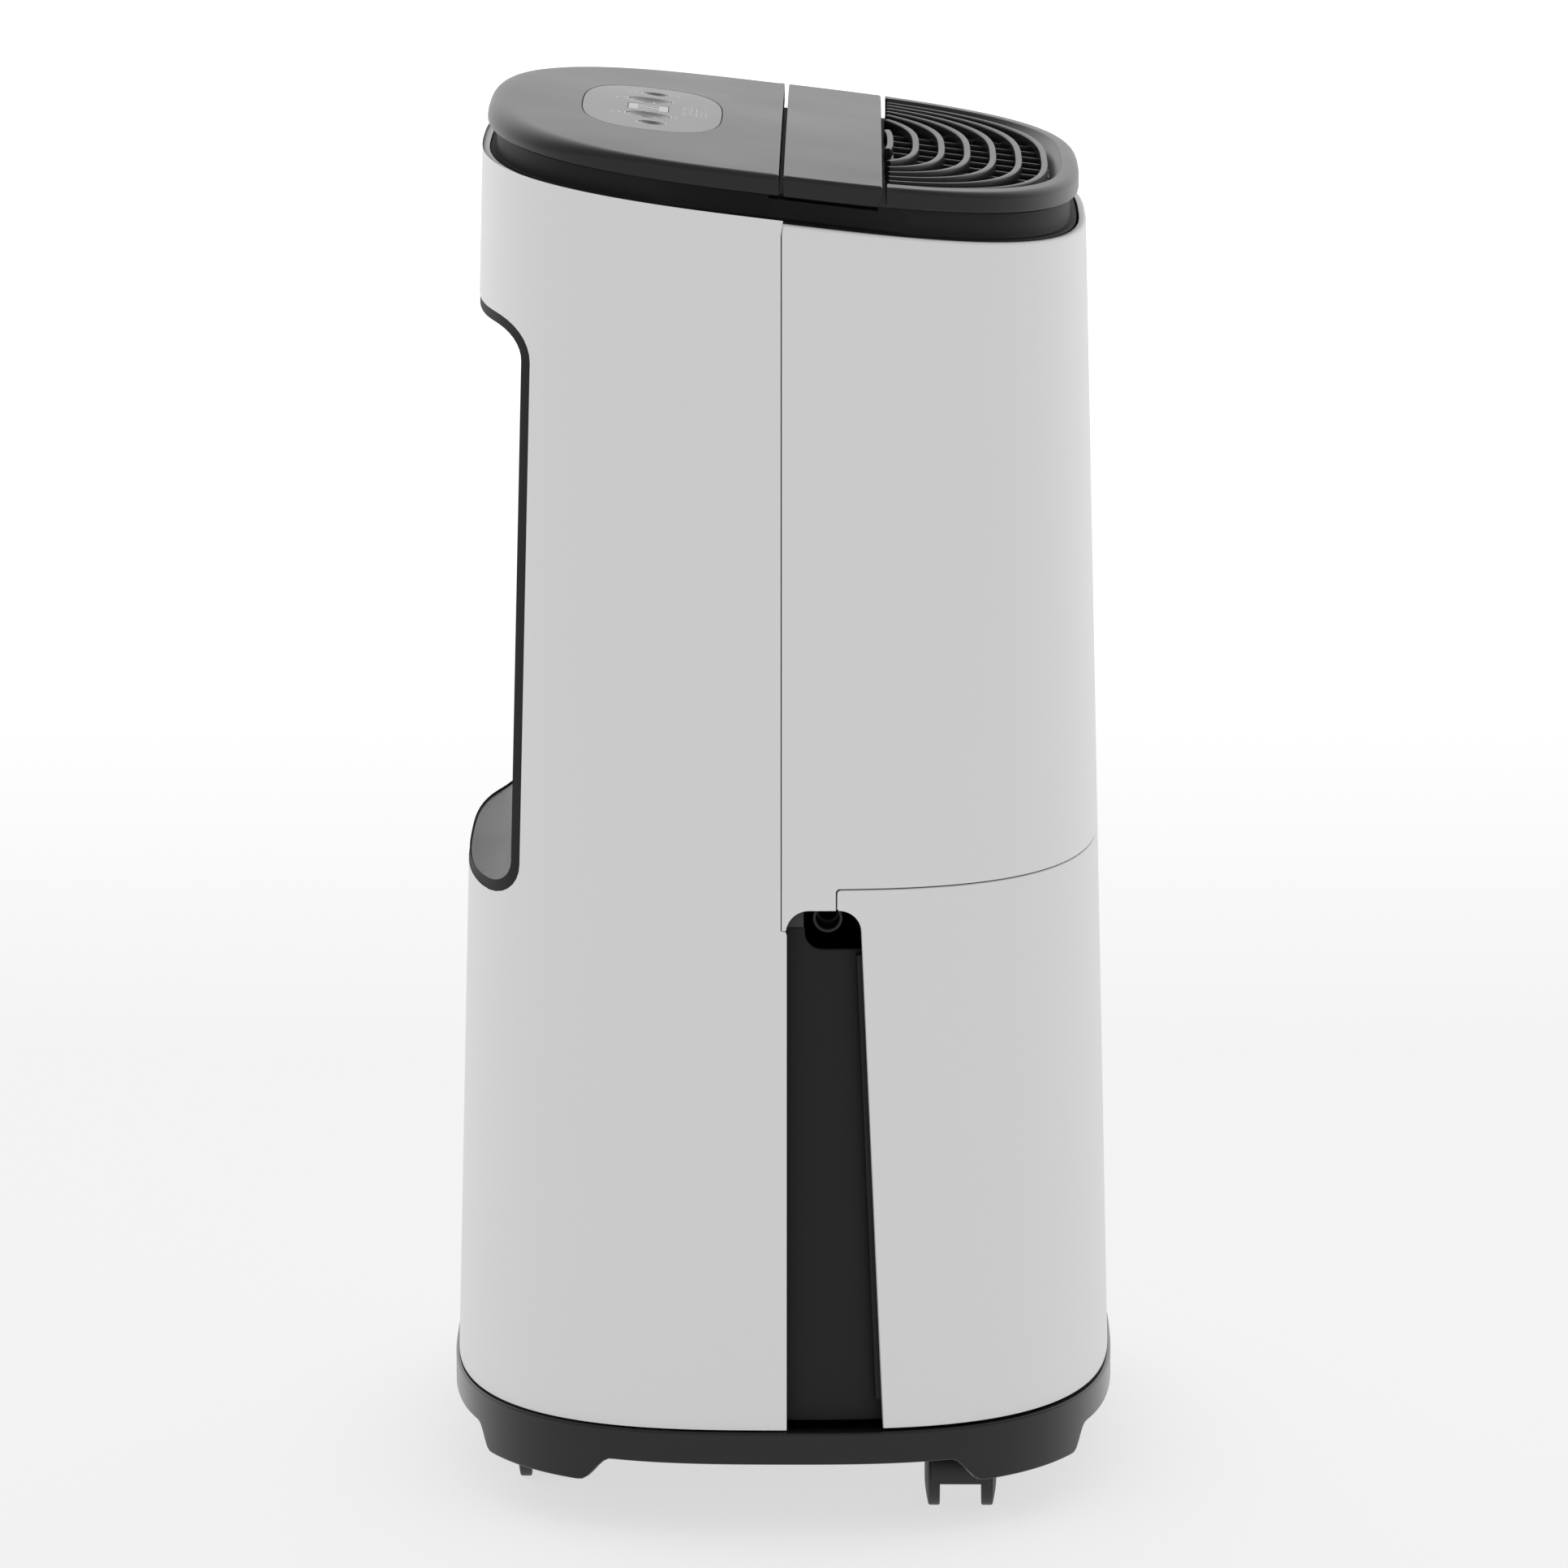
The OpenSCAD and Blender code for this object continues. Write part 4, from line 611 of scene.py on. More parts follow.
# ---- Coils, fan and air path --------------------------------------------------------------
# Two coils of copper tube through rolled aluminium fins, then a centrifugal fan in a scroll
# housing, all between a galvanised bulkhead and moulded trays that lead the water to the tank.
fin_stock = finish_of("fin_aluminium", (0.72, 0.73, 0.75), 0.35, 0.10, 2200, 0.00001, Metallic=1.0)
galvanised = finish_of("galvanised_sheet", (0.50, 0.51, 0.53), 0.42, 0.55, 120, 0.00001, Metallic=1.0)
duct_plastic = finish_of("duct_plastic", grey(0.035), 0.50, 0.10, 700, 0.00004)
fan_plastic = finish_of("fan_plastic", grey(0.42), 0.45, 0.06, 900, 0.00002)
paint("evaporator_fins condenser_fins", fin_stock)
paint("bulkhead fan_motor", galvanised)
paint("deck drip_tray coil_shroud fan_housing air_duct humidity_sensor", duct_plastic)
paint("fan_wheel", fan_plastic)
paint("fan_shaft", axle_metal)


# ---- Outer shells -------------------------------------------------------------------------
# Two white ABS half shells, moulded with a satin face, meet at a fine joint over each side. The
# rear one is cut out for the air inlet, and both end at the top in a rounded lip.
white_abs = finish_of("white_abs", grey(0.82), 0.42, 0.012, 1800, 0.00001)
SHELL, JOINT, LIP_R = 2.5, 0.3, 1.1
TANK_Z = BASE_Z + 182
POCKET_TOP, POCKET_W, POCKET_FLARE, POCKET_R, POCKET_REAR = TANK_Z - 7, 24.7, 7.9, 7.5, 1.7
STRIP_TOP = POCKET_TOP - 7


def rim_z(y):
    return RIM_Z + y * math.tan(TILT)


def on_side(points, left, front=False):
    """Points (y, z) of the side view as (way round, height), on the left or the right side."""
    q = np.asarray(points, float)
    u = u_at(q[:, 0], q[:, 1], left)
    return np.stack([u - ROUND if front and left else u, q[:, 1]], 1)


def rim_line(u0, u1):
    """The sloping rim from one way round to another."""
    u = np.linspace(u0, u1, int(abs(u1 - u0) / 3) + 2)
    t = np.interp(u, _u, _t)
    z = np.full(len(u), RIM_Z)
    for _ in range(4):
        z = rim_z(half_d(z) * spow(np.sin(t), 2 / SQUARE))
    return np.stack([u, z], 1)


RECESS_DEPTH, RECESS_LOW, RECESS_HIGH, RECESS_R = 20.3, 170.0, 365.5, 13.5
recess_mid = BASE_Z + (RECESS_LOW + RECESS_HIGH) / 2
recess_y = half_d(recess_mid) - RECESS_DEPTH
LEAN = math.atan(LEAN_D / (RIM_Z - BASE_Z))


def recess_line(shrink, r):
    """Edge of the rear cut-out, drawn in by shrink, as a closed line round the body's wall."""
    h = (RECESS_HIGH - RECESS_LOW) / 2 - shrink
    left_edge = arc(shrink + r, -h + r, r, 270, 180, 8) + arc(shrink + r, h - r, r, 180, 90, 8)
    left_edge = spaced(left_edge, 3, closed=False)
    y = recess_y + left_edge[:, 0] * math.cos(LEAN) - left_edge[:, 1] * math.sin(LEAN)
    z = recess_mid + left_edge[:, 0] * math.sin(LEAN) + left_edge[:, 1] * math.cos(LEAN)
    right = on_side(np.stack([y, z], 1), False)
    left = on_side(np.stack([y, z], 1), True)[::-1]
    def along(u0, u1, v):
        u = np.linspace(u0, u1, int(abs(u1 - u0) / 3) + 2)[1:-1]
        t = np.interp(u, _u, _t)
        z = np.full(len(u), recess_mid + v)
        for _ in range(4):
            out = (half_d(z) * spow(np.sin(t), 2 / SQUARE) - recess_y + v * math.sin(LEAN)) / math.cos(LEAN)
            z = recess_mid + out * math.sin(LEAN) + v * math.cos(LEAN)
        return np.stack([u, z], 1)
    over = along(right[-1, 0], left[0, 0], h)
    under = along(left[-1, 0], right[0, 0], -h)
    return np.concatenate([right, over, left, under])


# Rear shell: from the side joint round the back to the other, with a strip ahead of it low down
side_r = [(-POCKET_REAR, BASE_Z), (-POCKET_REAR, STRIP_TOP - 1.2), (-POCKET_REAR + 0.35, STRIP_TOP - 0.3),
          (JOINT, STRIP_TOP), (JOINT, RIM_Z)]
right_edge = on_side(spaced(side_r, 4, closed=False), False)
left_edge = on_side(spaced(side_r, 4, closed=False), True)
rim = rim_line(right_edge[-1, 0], left_edge[-1, 0])
foot = np.linspace(left_edge[0, 0], right_edge[0, 0], 190)
outer = np.concatenate([right_edge[:-1], rim, left_edge[:-1][::-1],
                        np.stack([foot[1:-1], np.full(188, BASE_Z)], 1)])


def shell_edge(points):
    """Rounded lip where the wall ends at the rim, and a close small radius elsewhere."""
    t = np.interp(points[:, 0], _u, _t)
    at_rim = np.abs(points[:, 1] - rim_z(half_d(points[:, 1]) * spow(np.sin(t), 2 / SQUARE))) < 0.4
    r = np.where(at_rim, LIP_R, 0.30)
    a = np.radians(np.linspace(0, 90, 6))
    rows = [np.stack([r * (1 - math.sin(k)), -r * (1 - math.cos(k))], 1) for k in a]
    for k in a[::2]:
        inset, depth = 0.25 * (1 - math.cos(k)), -SHELL + 0.25 * (1 - math.sin(k))
        rows.append(np.stack([inset + 0 * r, depth + 0 * r], 1))
    return np.stack(rows, 1)


hole = recess_line(0, RECESS_R)[::-1]
rear = moulding("rear_shell_white", [outer, hole], body_wall(), shell_edge, white_abs, 5, 16)
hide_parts("rear_shell")
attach(rear, "case")

# Front shell: above the tank joint, with a tab down each side to the top of the grip pocket
TAB_Y = 18.5
slope = POCKET_FLARE / (POCKET_TOP - BASE_Z)


def pocket_line():
    """Grip pocket in the side view (y, z): straight at the back, flared in front, round on top."""
    front_y = -POCKET_REAR - POCKET_W
    rear_turn = arc(-POCKET_REAR - POCKET_R, POCKET_TOP - POCKET_R, POCKET_R, 0, 90, 10)
    front_turn = arc(front_y + POCKET_R - slope * POCKET_R, POCKET_TOP - POCKET_R, POCKET_R, 90, 180, 10)
    foot_y = front_y - slope * (POCKET_TOP - BASE_Z)
    return [(-POCKET_REAR, BASE_Z)] + rear_turn + front_turn + [(foot_y, BASE_Z)]


pocket = [p for p in pocket_line() if p[1] > STRIP_TOP]
corner = TANK_Z + JOINT
down = [(-JOINT, RIM_Z), (-JOINT, STRIP_TOP + 0.3), (-POCKET_REAR, STRIP_TOP + 0.3)]
down += [p for p in pocket if p[0] > -TAB_Y + JOINT + 0.2]
down += [(-TAB_Y + JOINT, POCKET_TOP)] + [(-TAB_Y + JOINT, corner - 1.3)]
down += arc(-TAB_Y + JOINT - 1.3, corner - 1.3, 1.3, 0, 90, 4)[1:]
side_line = spaced(down, 4, closed=False)
right_side = on_side(side_line, False)
left_side = on_side(side_line, True, True)
rim = rim_line(left_side[0, 0], right_side[0, 0])
seam_u = np.linspace(left_side[-1, 0], right_side[-1, 0], 170)[1:-1]
seam = np.stack([seam_u, np.full(168, corner)], 1)
# counterclockwise seen from outside: along the seam, up the +X side, back along the rim, down -X
outer = np.concatenate([seam, right_side[::-1][:-1], rim[::-1], left_side[1:]])
front = moulding("front_shell_white", [outer], body_wall(), shell_edge, white_abs, 5, 16)
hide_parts("front_shell")
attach(front, "case")
screw_zinc = finish_of("zinc_screw", (0.42, 0.43, 0.45), 0.35, 0.25, 900, 0.00001, Metallic=1.0)
paint("base_screws collar_screws", screw_zinc)


# ---- Air inlet at the rear ----------------------------------------------------------------
# A dark grey liner frames the cut-out with a rounded lip. In its floor sits a clip-in louvred
# panel, hinged at its foot, that carries a washable mesh filter in a thin frame.
liner_plastic = finish_of("liner_plastic", grey(0.046), 0.42, 0.08, 1100, 0.00003, Specular_IOR_Level=0.4)
inlet_plastic = finish_of("inlet_plastic", grey(0.055), 0.42, 0.08, 1100, 0.00002)
lip_plastic = finish_of("lip_plastic", grey(0.010), 0.6, 0.08, 1100, 0.00003, Specular_IOR_Level=0.15)
LINER = 3.0

lip_outer = recess_line(0.55, RECESS_R - 0.55)
lip_inner = recess_line(LINER, RECESS_R - LINER)
lip = moulding("recess_lip", [lip_outer, lip_inner[::-1]], body_wall(0.25), rolled(2.4, 0.9, 0.1),
               lip_plastic, 2.4, 6)
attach(lip, "case")

# The liner's inside as one bent sheet: out along the lower ledge, up the floor, out along the top
sheet_h = (RECESS_HIGH - RECESS_LOW) / 2 - LINER - 0.06
sheet_r = RECESS_R - LINER
mid_ledge = spaced([(30, -sheet_h), (sheet_r + LINER, -sheet_h)], 1, closed=False)[:-1]
floor_out, turn_h = LINER + 0.06, sheet_h - sheet_r
bent = list(mid_ledge) + arc(floor_out + sheet_r, -turn_h, sheet_r, 270, 180, 12)
bent += list(spaced([(floor_out, -turn_h), (floor_out, turn_h)], 3, closed=False)[1:-1])
bent += arc(floor_out + sheet_r, turn_h, sheet_r, 180, 90, 12) + [tuple(p) for p in mid_ledge[::-1] * (1, -1)]
bent = np.array(bent)
bent_yz = np.stack([recess_y + bent[:, 0] * math.cos(LEAN) - bent[:, 1] * math.sin(LEAN),
                    recess_mid + bent[:, 0] * math.sin(LEAN) + bent[:, 1] * math.cos(LEAN)], 1)
bent_s = np.concatenate([[0], np.cumsum(np.linalg.norm(np.diff(bent_yz, axis=0), axis=1))])


def on_sheet(uv, d):
    """Places (x, length along the sheet, depth) on the bent liner."""
    def at(s):
        return np.interp(s, bent_s, bent_yz[:, 0]), np.interp(s, bent_s, bent_yz[:, 1])
    y, z = at(uv[:, 1])
    (y1, z1), (y0, z0) = at(uv[:, 1] + 0.4), at(uv[:, 1] - 0.4)
    dy, dz = y1 - y0, z1 - z0
    n = np.stack([np.zeros(len(y)), dz, -dy], 1)
    n /= np.maximum(np.linalg.norm(n, axis=1), 1e-9)[:, None]
    return np.stack([uv[:, 0], y, z], 1) + n * np.asarray(d).reshape(-1, 1)


depth_share = np.abs(bent_yz[:, 0]) / (half_d(bent_yz[:, 1]) - 0.35)
reach = half_w(bent_yz[:, 1]) * np.maximum(1 - depth_share ** SQUARE, 0) ** (1 / SQUARE)
inside_rows = np.nonzero(reach > 14)[0]
sheet_edge = [(reach[i] - 0.6, bent_s[i]) for i in inside_rows]
first, last = inside_rows[0], inside_rows[-1]


def ledge_tip(i, way):
    """The end of a ledge, where the oval crosses behind it."""
    z, tip = bent_yz[i, 1], []
    for x in np.linspace(reach[i] - 0.6, -reach[i] + 0.6, 13)[1:-1]:
        y = (half_d(z) - 0.35) * (1 - (abs(x) / half_w(z)) ** SQUARE) ** (1 / SQUARE)
        tip.append((x, bent_s[i] + way * (y - bent_yz[i, 0])))
    return tip


sheet_outer = sheet_edge + ledge_tip(last, 1)
sheet_outer += [(-x, s) for x, s in sheet_edge[::-1] + ledge_tip(first, -1)]
inlet_lo, inlet_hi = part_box("inlet_grille")
INLET_W = (inlet_hi.x - inlet_lo.x) / mm
inlet_high = (RECESS_HIGH - RECESS_LOW) / 2 - LINER - 9
inlet_low = -inlet_high


def s_at(v):
    """Length along the liner at height v of its floor."""
    flat = np.nonzero((bent[:, 0] < LINER + 0.07))[0]
    return np.interp(v, bent[flat, 1], bent_s[flat])


def box_loop(x0, x1, y0, y1, r):
    """A rectangle with round corners, counterclockwise."""
    corners = ((x1 - r, y1 - r, 0), (x0 + r, y1 - r, 90), (x0 + r, y0 + r, 180), (x1 - r, y0 + r, 270))
    return [p for x, y, a in corners for p in arc(x, y, r, a, a + 90, 5)]


INLET_GAP = 0.4
opening = spaced(box_loop(-INLET_W / 2 - INLET_GAP, INLET_W / 2 + INLET_GAP, s_at(inlet_low) - INLET_GAP,
                          s_at(inlet_high) + INLET_GAP, 1.5), 5)[::-1]
sheet = moulding("recess_liner_sheet", [np.array(sheet_outer), opening], on_sheet, rolled(1.8, 0.25, 0.05),
                 liner_plastic, 4, 8)
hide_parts("recess_liner")
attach(sheet, "case")


def at_recess(x, out, up):
    """A place given across, out from and up the leaning floor of the cut-out."""
    y = recess_y + out * math.cos(LEAN) - up * math.sin(LEAN)
    return x, y, recess_mid + out * math.sin(LEAN) + up * math.cos(LEAN)


def recess_face(out):
    """Places points on a plane that far out from the cut-out's floor."""
    def place(uv, d):
        return np.stack(at_recess(uv[:, 0], np.asarray(d) + out, uv[:, 1]), 1)
    return place


def gn_socket(tree, name, kind, value=None):
    """Adds an input to a tree and gives the key by which its value is set."""
    s = tree.interface.new_socket(name=name, in_out="INPUT", socket_type=kind)
    if value is not None:
        s.default_value = value
    return s.identifier


# Row of rounded slats: a filleted section swept along each slat, set out along one line
slat_row = bpy.data.node_groups.new("row_of_slats", "GeometryNodeTree")
slat_row.interface.new_socket(name="Geometry", in_out="OUTPUT", socket_type="NodeSocketGeometry")
slat_in = {key: gn_socket(slat_row, key, "NodeSocket" + kind, value) for key, kind, value in (
    ("Count", "Int", 10), ("Pitch", "Float", 0.007), ("Width", "Float", 0.002), ("Height", "Float", 0.0024),
    ("Length", "Float", 0.15), ("Rounding", "Float", 0.0006), ("Plastic", "Material", None))}
sn, sl = slat_row.nodes, slat_row.links
s_in, s_out = sn.new("NodeGroupInput"), sn.new("NodeGroupOutput")
s_line = sn.new("GeometryNodeCurvePrimitiveLine")
s_end = sn.new("ShaderNodeCombineXYZ")
sl.new(s_in.outputs["Length"], s_end.inputs["Z"])
sl.new(s_end.outputs[0], s_line.inputs["End"])
s_box = sn.new("GeometryNodeCurvePrimitiveQuadrilateral")
sl.new(s_in.outputs["Width"], s_box.inputs["Width"])
sl.new(s_in.outputs["Height"], s_box.inputs["Height"])
s_round = sn.new("GeometryNodeFilletCurve")
s_round.mode = "POLY"
s_round.inputs["Count"].default_value = 3
s_round.inputs["Limit Radius"].default_value = True
sl.new(s_box.outputs[0], s_round.inputs["Curve"])
sl.new(s_in.outputs["Rounding"], s_round.inputs["Radius"])
s_sweep = sn.new("GeometryNodeCurveToMesh")
s_sweep.inputs["Fill Caps"].default_value = True
sl.new(s_line.outputs[0], s_sweep.inputs["Curve"])
sl.new(s_round.outputs[0], s_sweep.inputs["Profile Curve"])
s_points = sn.new("GeometryNodeMeshLine")
sl.new(s_in.outputs["Count"], s_points.inputs["Count"])
s_step = sn.new("ShaderNodeCombineXYZ")
sl.new(s_in.outputs["Pitch"], s_step.inputs["X"])
sl.new(s_step.outputs[0], s_points.inputs["Offset"])
s_place = sn.new("GeometryNodeInstanceOnPoints")
sl.new(s_points.outputs[0], s_place.inputs["Points"])
sl.new(s_sweep.outputs[0], s_place.inputs["Instance"])
s_real = sn.new("GeometryNodeRealizeInstances")
sl.new(s_place.outputs[0], s_real.inputs[0])
s_mat = sn.new("GeometryNodeSetMaterial")
sl.new(s_real.outputs[0], s_mat.inputs["Geometry"])
sl.new(s_in.outputs["Plastic"], s_mat.inputs["Material"])
sl.new(s_mat.outputs[0], s_out.inputs[0])


def one_material(thing, material):
    """Keeps a single slot, since a converted tree leaves an empty one in front."""
    thing.data.materials.clear()
    thing.data.materials.append(material)
    thing.data.polygons.foreach_set("material_index", [0] * len(thing.data.polygons))
    return thing


def grown(name, tree, values, plastic_key, material):
    """Runs a geometry tree once and keeps its result as a plain mesh."""
    thing = bpy.data.objects.new(name, bpy.data.meshes.new(name))
    scene.collection.objects.link(thing)
    m = thing.modifiers.new("grow", "NODES")
    m.node_group = tree
    for key, value in values.items():
        m[key] = value
    m[plastic_key] = material
    return one_material(settle(thing), material)


def laid(thing, matrix):
    """Puts a made mesh in its place, in its own points."""
    thing.data.transform(matrix)
    b = bmesh.new()
    b.from_mesh(thing.data)
    bmesh.ops.recalc_face_normals(b, faces=b.faces)
    b.to_mesh(thing.data)
    b.free()
    thing.data.shade_smooth()
    thing.data.set_sharp_from_angle(angle=math.radians(40))
    return thing


def frame_to(origin, x_way, y_way):
    """The turn and move that take a tree's own axes to a place on the body."""
    x, y = Vector(x_way).normalized(), Vector(y_way).normalized()
    m = Matrix((x, y, x.cross(y))).transposed().to_4x4()
    m.translation = Vector(origin) * mm
    return m


def slat_size(count, pitch, width, height, length, rounding):
    """The slat tree's values, given in mm."""
    sizes = {"Pitch": pitch, "Width": width, "Height": height, "Length": length, "Rounding": rounding}
    return {slat_in["Count"]: count, **{slat_in[key]: value * mm for key, value in sizes.items()}}


LOUVRE_PITCH, LOUVRE_W, FRAME = 7.0, 2.0, 9.0
inner_w, inner_h = INLET_W - 2 * FRAME, inlet_high - inlet_low - 2 * FRAME
rim_loop = spaced(box_loop(-INLET_W / 2, INLET_W / 2, inlet_low, inlet_high, 2.0), 8)
hole_loop = spaced(box_loop(-inner_w / 2, inner_w / 2, inlet_low + FRAME, inlet_high - FRAME, 3.0), 8)[::-1]
panel = moulding("inlet_panel", [rim_loop, hole_loop], recess_face(3.0), rolled(3.0, 0.8, 0.2),
                 inlet_plastic, 6, 10)
out_way = (0, math.cos(LEAN), math.sin(LEAN))
slats = int(inner_w / LOUVRE_PITCH)
first_x = -(slats - 1) / 2 * LOUVRE_PITCH
louvre_size = slat_size(slats, LOUVRE_PITCH, LOUVRE_W, 2.2, inner_h + 1.5, 0.7)
louvres = laid(grown("inlet_louvres", slat_row, louvre_size, slat_in["Plastic"], inlet_plastic),
               frame_to(at_recess(first_x, 1.6, inlet_low + FRAME - 0.75), (1, 0, 0), out_way))
ties, tie_size, tie_way = [], slat_size(1, 10, 3.0, 1.4, inner_w + 1.0, 0.4), (0, math.sin(LEAN), -math.cos(LEAN))
for k in (1, 2):
    up = inlet_low + (inlet_high - inlet_low) * k / 3
    ties.append(laid(grown("inlet_tie_%d" % k, slat_row, tie_size, slat_in["Plastic"], inlet_plastic),
                     frame_to(at_recess(-inner_w / 2 - 0.5, 0.9, up), tie_way, out_way)))
for piece in (*ties, panel, louvres):
    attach(piece, "inlet")
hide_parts("inlet_grille")
net = finish_of("filter_net", grey(0.03), 0.7, 0.2, 1600, 0.00004)
paint("filter_frame", duct_plastic)
weave = net.node_tree.nodes.new("ShaderNodeTexWave")
weave.inputs["Scale"].default_value = 260
weave_way = net.node_tree.nodes.new("ShaderNodeTexCoord")
net.node_tree.links.new(weave_way.outputs["Object"], weave.inputs["Vector"])
weave_bump = net.node_tree.nodes.new("ShaderNodeBump")
weave_bump.inputs["Distance"].default_value = 0.0002
net.node_tree.links.new(weave.outputs["Fac"], weave_bump.inputs["Height"])
net.node_tree.links.new(weave_bump.outputs[0], net.node_tree.nodes["Principled BSDF"].inputs["Normal"])
paint("filter_mesh", net)


# ---- Neck collar --------------------------------------------------------------------------
# Black collar that closes the top of the body. It stands back from the lid, with a shallow
# finger scoop along each side, and a flange that fills the rim of the white shells.
LID_TOP, LID_T, CROWN = 455.0, 7.0, 1.45
LID_W, LID_D = half_w(RIM_Z) - 4.2, half_d(RIM_Z) - 2.2
NECK_W, NECK_D = LID_W - 4, LID_D - 3
FLANGE_W, FLANGE_D = half_w(RIM_Z) - 3.0, half_d(RIM_Z) - 3.0
SCOOP_R, SCOOP_X, SCOOP_V, SCOOP_END = 12.0, LID_W + 4, -11.0, 70.0
HANDLE_REAR, HANDLE_FRONT, GAP_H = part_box("handle")[1].y / mm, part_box("handle")[0].y / mm, 1.5
collar_black = finish_of("collar_black", grey(0.019), 0.6, 0.10, 1300, 0.00004, Specular_IOR_Level=0.2)


def oval(w, d, step=2.0, start=0.0, end=2 * math.pi):
    """Points of the rounded outline, evenly spaced along it."""
    t = np.linspace(start, end, 8001)
    x, y = w * spow(np.cos(t), 2 / SQUARE), d * spow(np.sin(t), 2 / SQUARE)
    s = np.concatenate([[0], np.cumsum(np.hypot(np.diff(x), np.diff(y)))])
    n = max(8, int(s[-1] / step))
    full = abs(end - start - 2 * math.pi) < 1e-9
    k = np.linspace(0, s[-1], n + 1)[:-1] if full else np.linspace(0, s[-1], n + 1)
    return np.stack([np.interp(k, s, x), np.interp(k, s, y)], 1)


def lid_z(x, y, v, crown=False):
    """Height of the sloping lid, v above it, with its crown across the width if asked."""
    rise = CROWN * (1 - (np.abs(x) / LID_W) ** 2) if crown else 0
    return LID_TOP + y * math.tan(TILT) + v + rise


levels = [(-7.3, 0), (-7.9, 0)] + [(v, 0) for v in np.arange(-8.4, -15.0, -0.55)] + [(-15.0, 0), (-15.25, 0.15)]
rows = []
unit = oval(NECK_W, NECK_D, 1.2)
flange = np.stack([unit[:, 0] * FLANGE_W / NECK_W, unit[:, 1] * FLANGE_D / NECK_D], 1)
for v, out in levels:
    x, y = unit[:, 0].copy(), unit[:, 1]
    over = SCOOP_R ** 2 - (v - SCOOP_V) ** 2 - np.maximum(np.abs(y) - SCOOP_END, 0) ** 2
    cut = np.where(over > 0, SCOOP_X - np.sqrt(np.maximum(over, 0)), 1e3)
    x = np.sign(x) * np.minimum(np.abs(x), cut)
    under = (y < HANDLE_REAR + 5) & (y > HANDLE_FRONT + 1.5) & (np.abs(x) > 60)
    if v > -8.7:
        x = np.where(under, np.sign(x) * np.minimum(np.abs(x), cut.min() - 3), x)
    k = out / 5
    x, y = x + (flange[:, 0] - x) * k, y + (flange[:, 1] - y) * k
    rows.append(np.stack([x, y, lid_z(x, y, v)], 1))
for k, v in ((0.05, -15.38), (0.86, -15.4), (0.93, -15.32), (0.97, -15.4), (0.995, -15.7), (1.0, -16.2),
             (1.0, -29.7), (0.98, -30)):
    x, y = unit[:, 0] + (flange[:, 0] - unit[:, 0]) * k, unit[:, 1] + (flange[:, 1] - unit[:, 1]) * k
    rows.append(np.stack([x, y, lid_z(x, y, v)], 1))
for v in (-30, -7.3):
    x, y = unit[:, 0] * (LID_W - 15) / NECK_W, unit[:, 1] * (LID_D - 12) / NECK_D
    rows.append(np.stack([x, y, lid_z(x, y, v)], 1))
n, r = len(unit), len(rows)
verts = np.concatenate(rows)
faces = [(a * n + i, a * n + (i + 1) % n, (a + 1) % r * n + (i + 1) % n, (a + 1) % r * n + i)
         for a in range(r) for i in range(n)]
neck = even_shade(new_object("neck_wall", verts, faces, collar_black, 42))
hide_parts("neck_collar")
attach(neck, "case")


def on_lid(crown=True):
    """Places (x, y, depth) on the lid's surface."""
    def place(uv, d):
        return np.stack([uv[:, 0], uv[:, 1], lid_z(uv[:, 0], uv[:, 1], np.asarray(d), crown)], 1)
    return place


def cut_oval(w, d, y0, y1, step=2.5):
    """The rounded outline between two depths, as a closed line, counterclockwise."""
    def t_at(y):
        return math.asin(min(1, abs(y) / d) ** (SQUARE / 2)) * (1 if y > 0 else -1)
    if y1 > d:
        line = oval(w, d, step, t_at(y0), math.pi - t_at(y0))
    elif y0 < -d:
        line = oval(w, d, step, math.pi - t_at(y1), 2 * math.pi + t_at(y1))
    else:
        right = oval(w, d, step, t_at(y0), t_at(y1))
        left = right[::-1] * (-1, 1)
        rear_cut = spaced([right[-1], left[0]], step, closed=False)[1:-1]
        front_cut = spaced([left[-1], right[0]], step, closed=False)[1:-1]
        return np.concatenate([right, rear_cut, left, front_cut])
    return np.concatenate([line, spaced([line[-1], line[0]], step, closed=False)[1:-1]])


board_y, board_hw, board_hl = 44.6 + 1.7, 65.0, 33.0
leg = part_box("handle_sleeves")
leg_x, leg_y = leg[1].x / mm - 5.5, (leg[0].y + leg[1].y) / 2 / mm
deck_outer = cut_oval(LID_W - 15.2, LID_D - 12.2, HANDLE_FRONT - GAP_H - 4, 999, 4)
deck_holes = [np.array(box_loop(-board_hw, board_hw, board_y - board_hl, board_y + board_hl, 2))[::-1]]
for way in (-1, 1):
    leg_hole = box_loop(way * leg_x - 2.9, way * leg_x + 2.9, leg_y - 7.4, leg_y + 7.4, 0.4)
    deck_holes.append(np.array(leg_hole)[::-1])
collar_deck = moulding("neck_deck", [deck_outer] + deck_holes, on_lid(False), rolled(3.6, 0.3, 0.2),
                       collar_black, 10, 14)
collar_deck.data.transform(Matrix.Translation((0, 0, -7.35 * mm)))
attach(collar_deck, "case")
paint("handle_sleeves", collar_black)


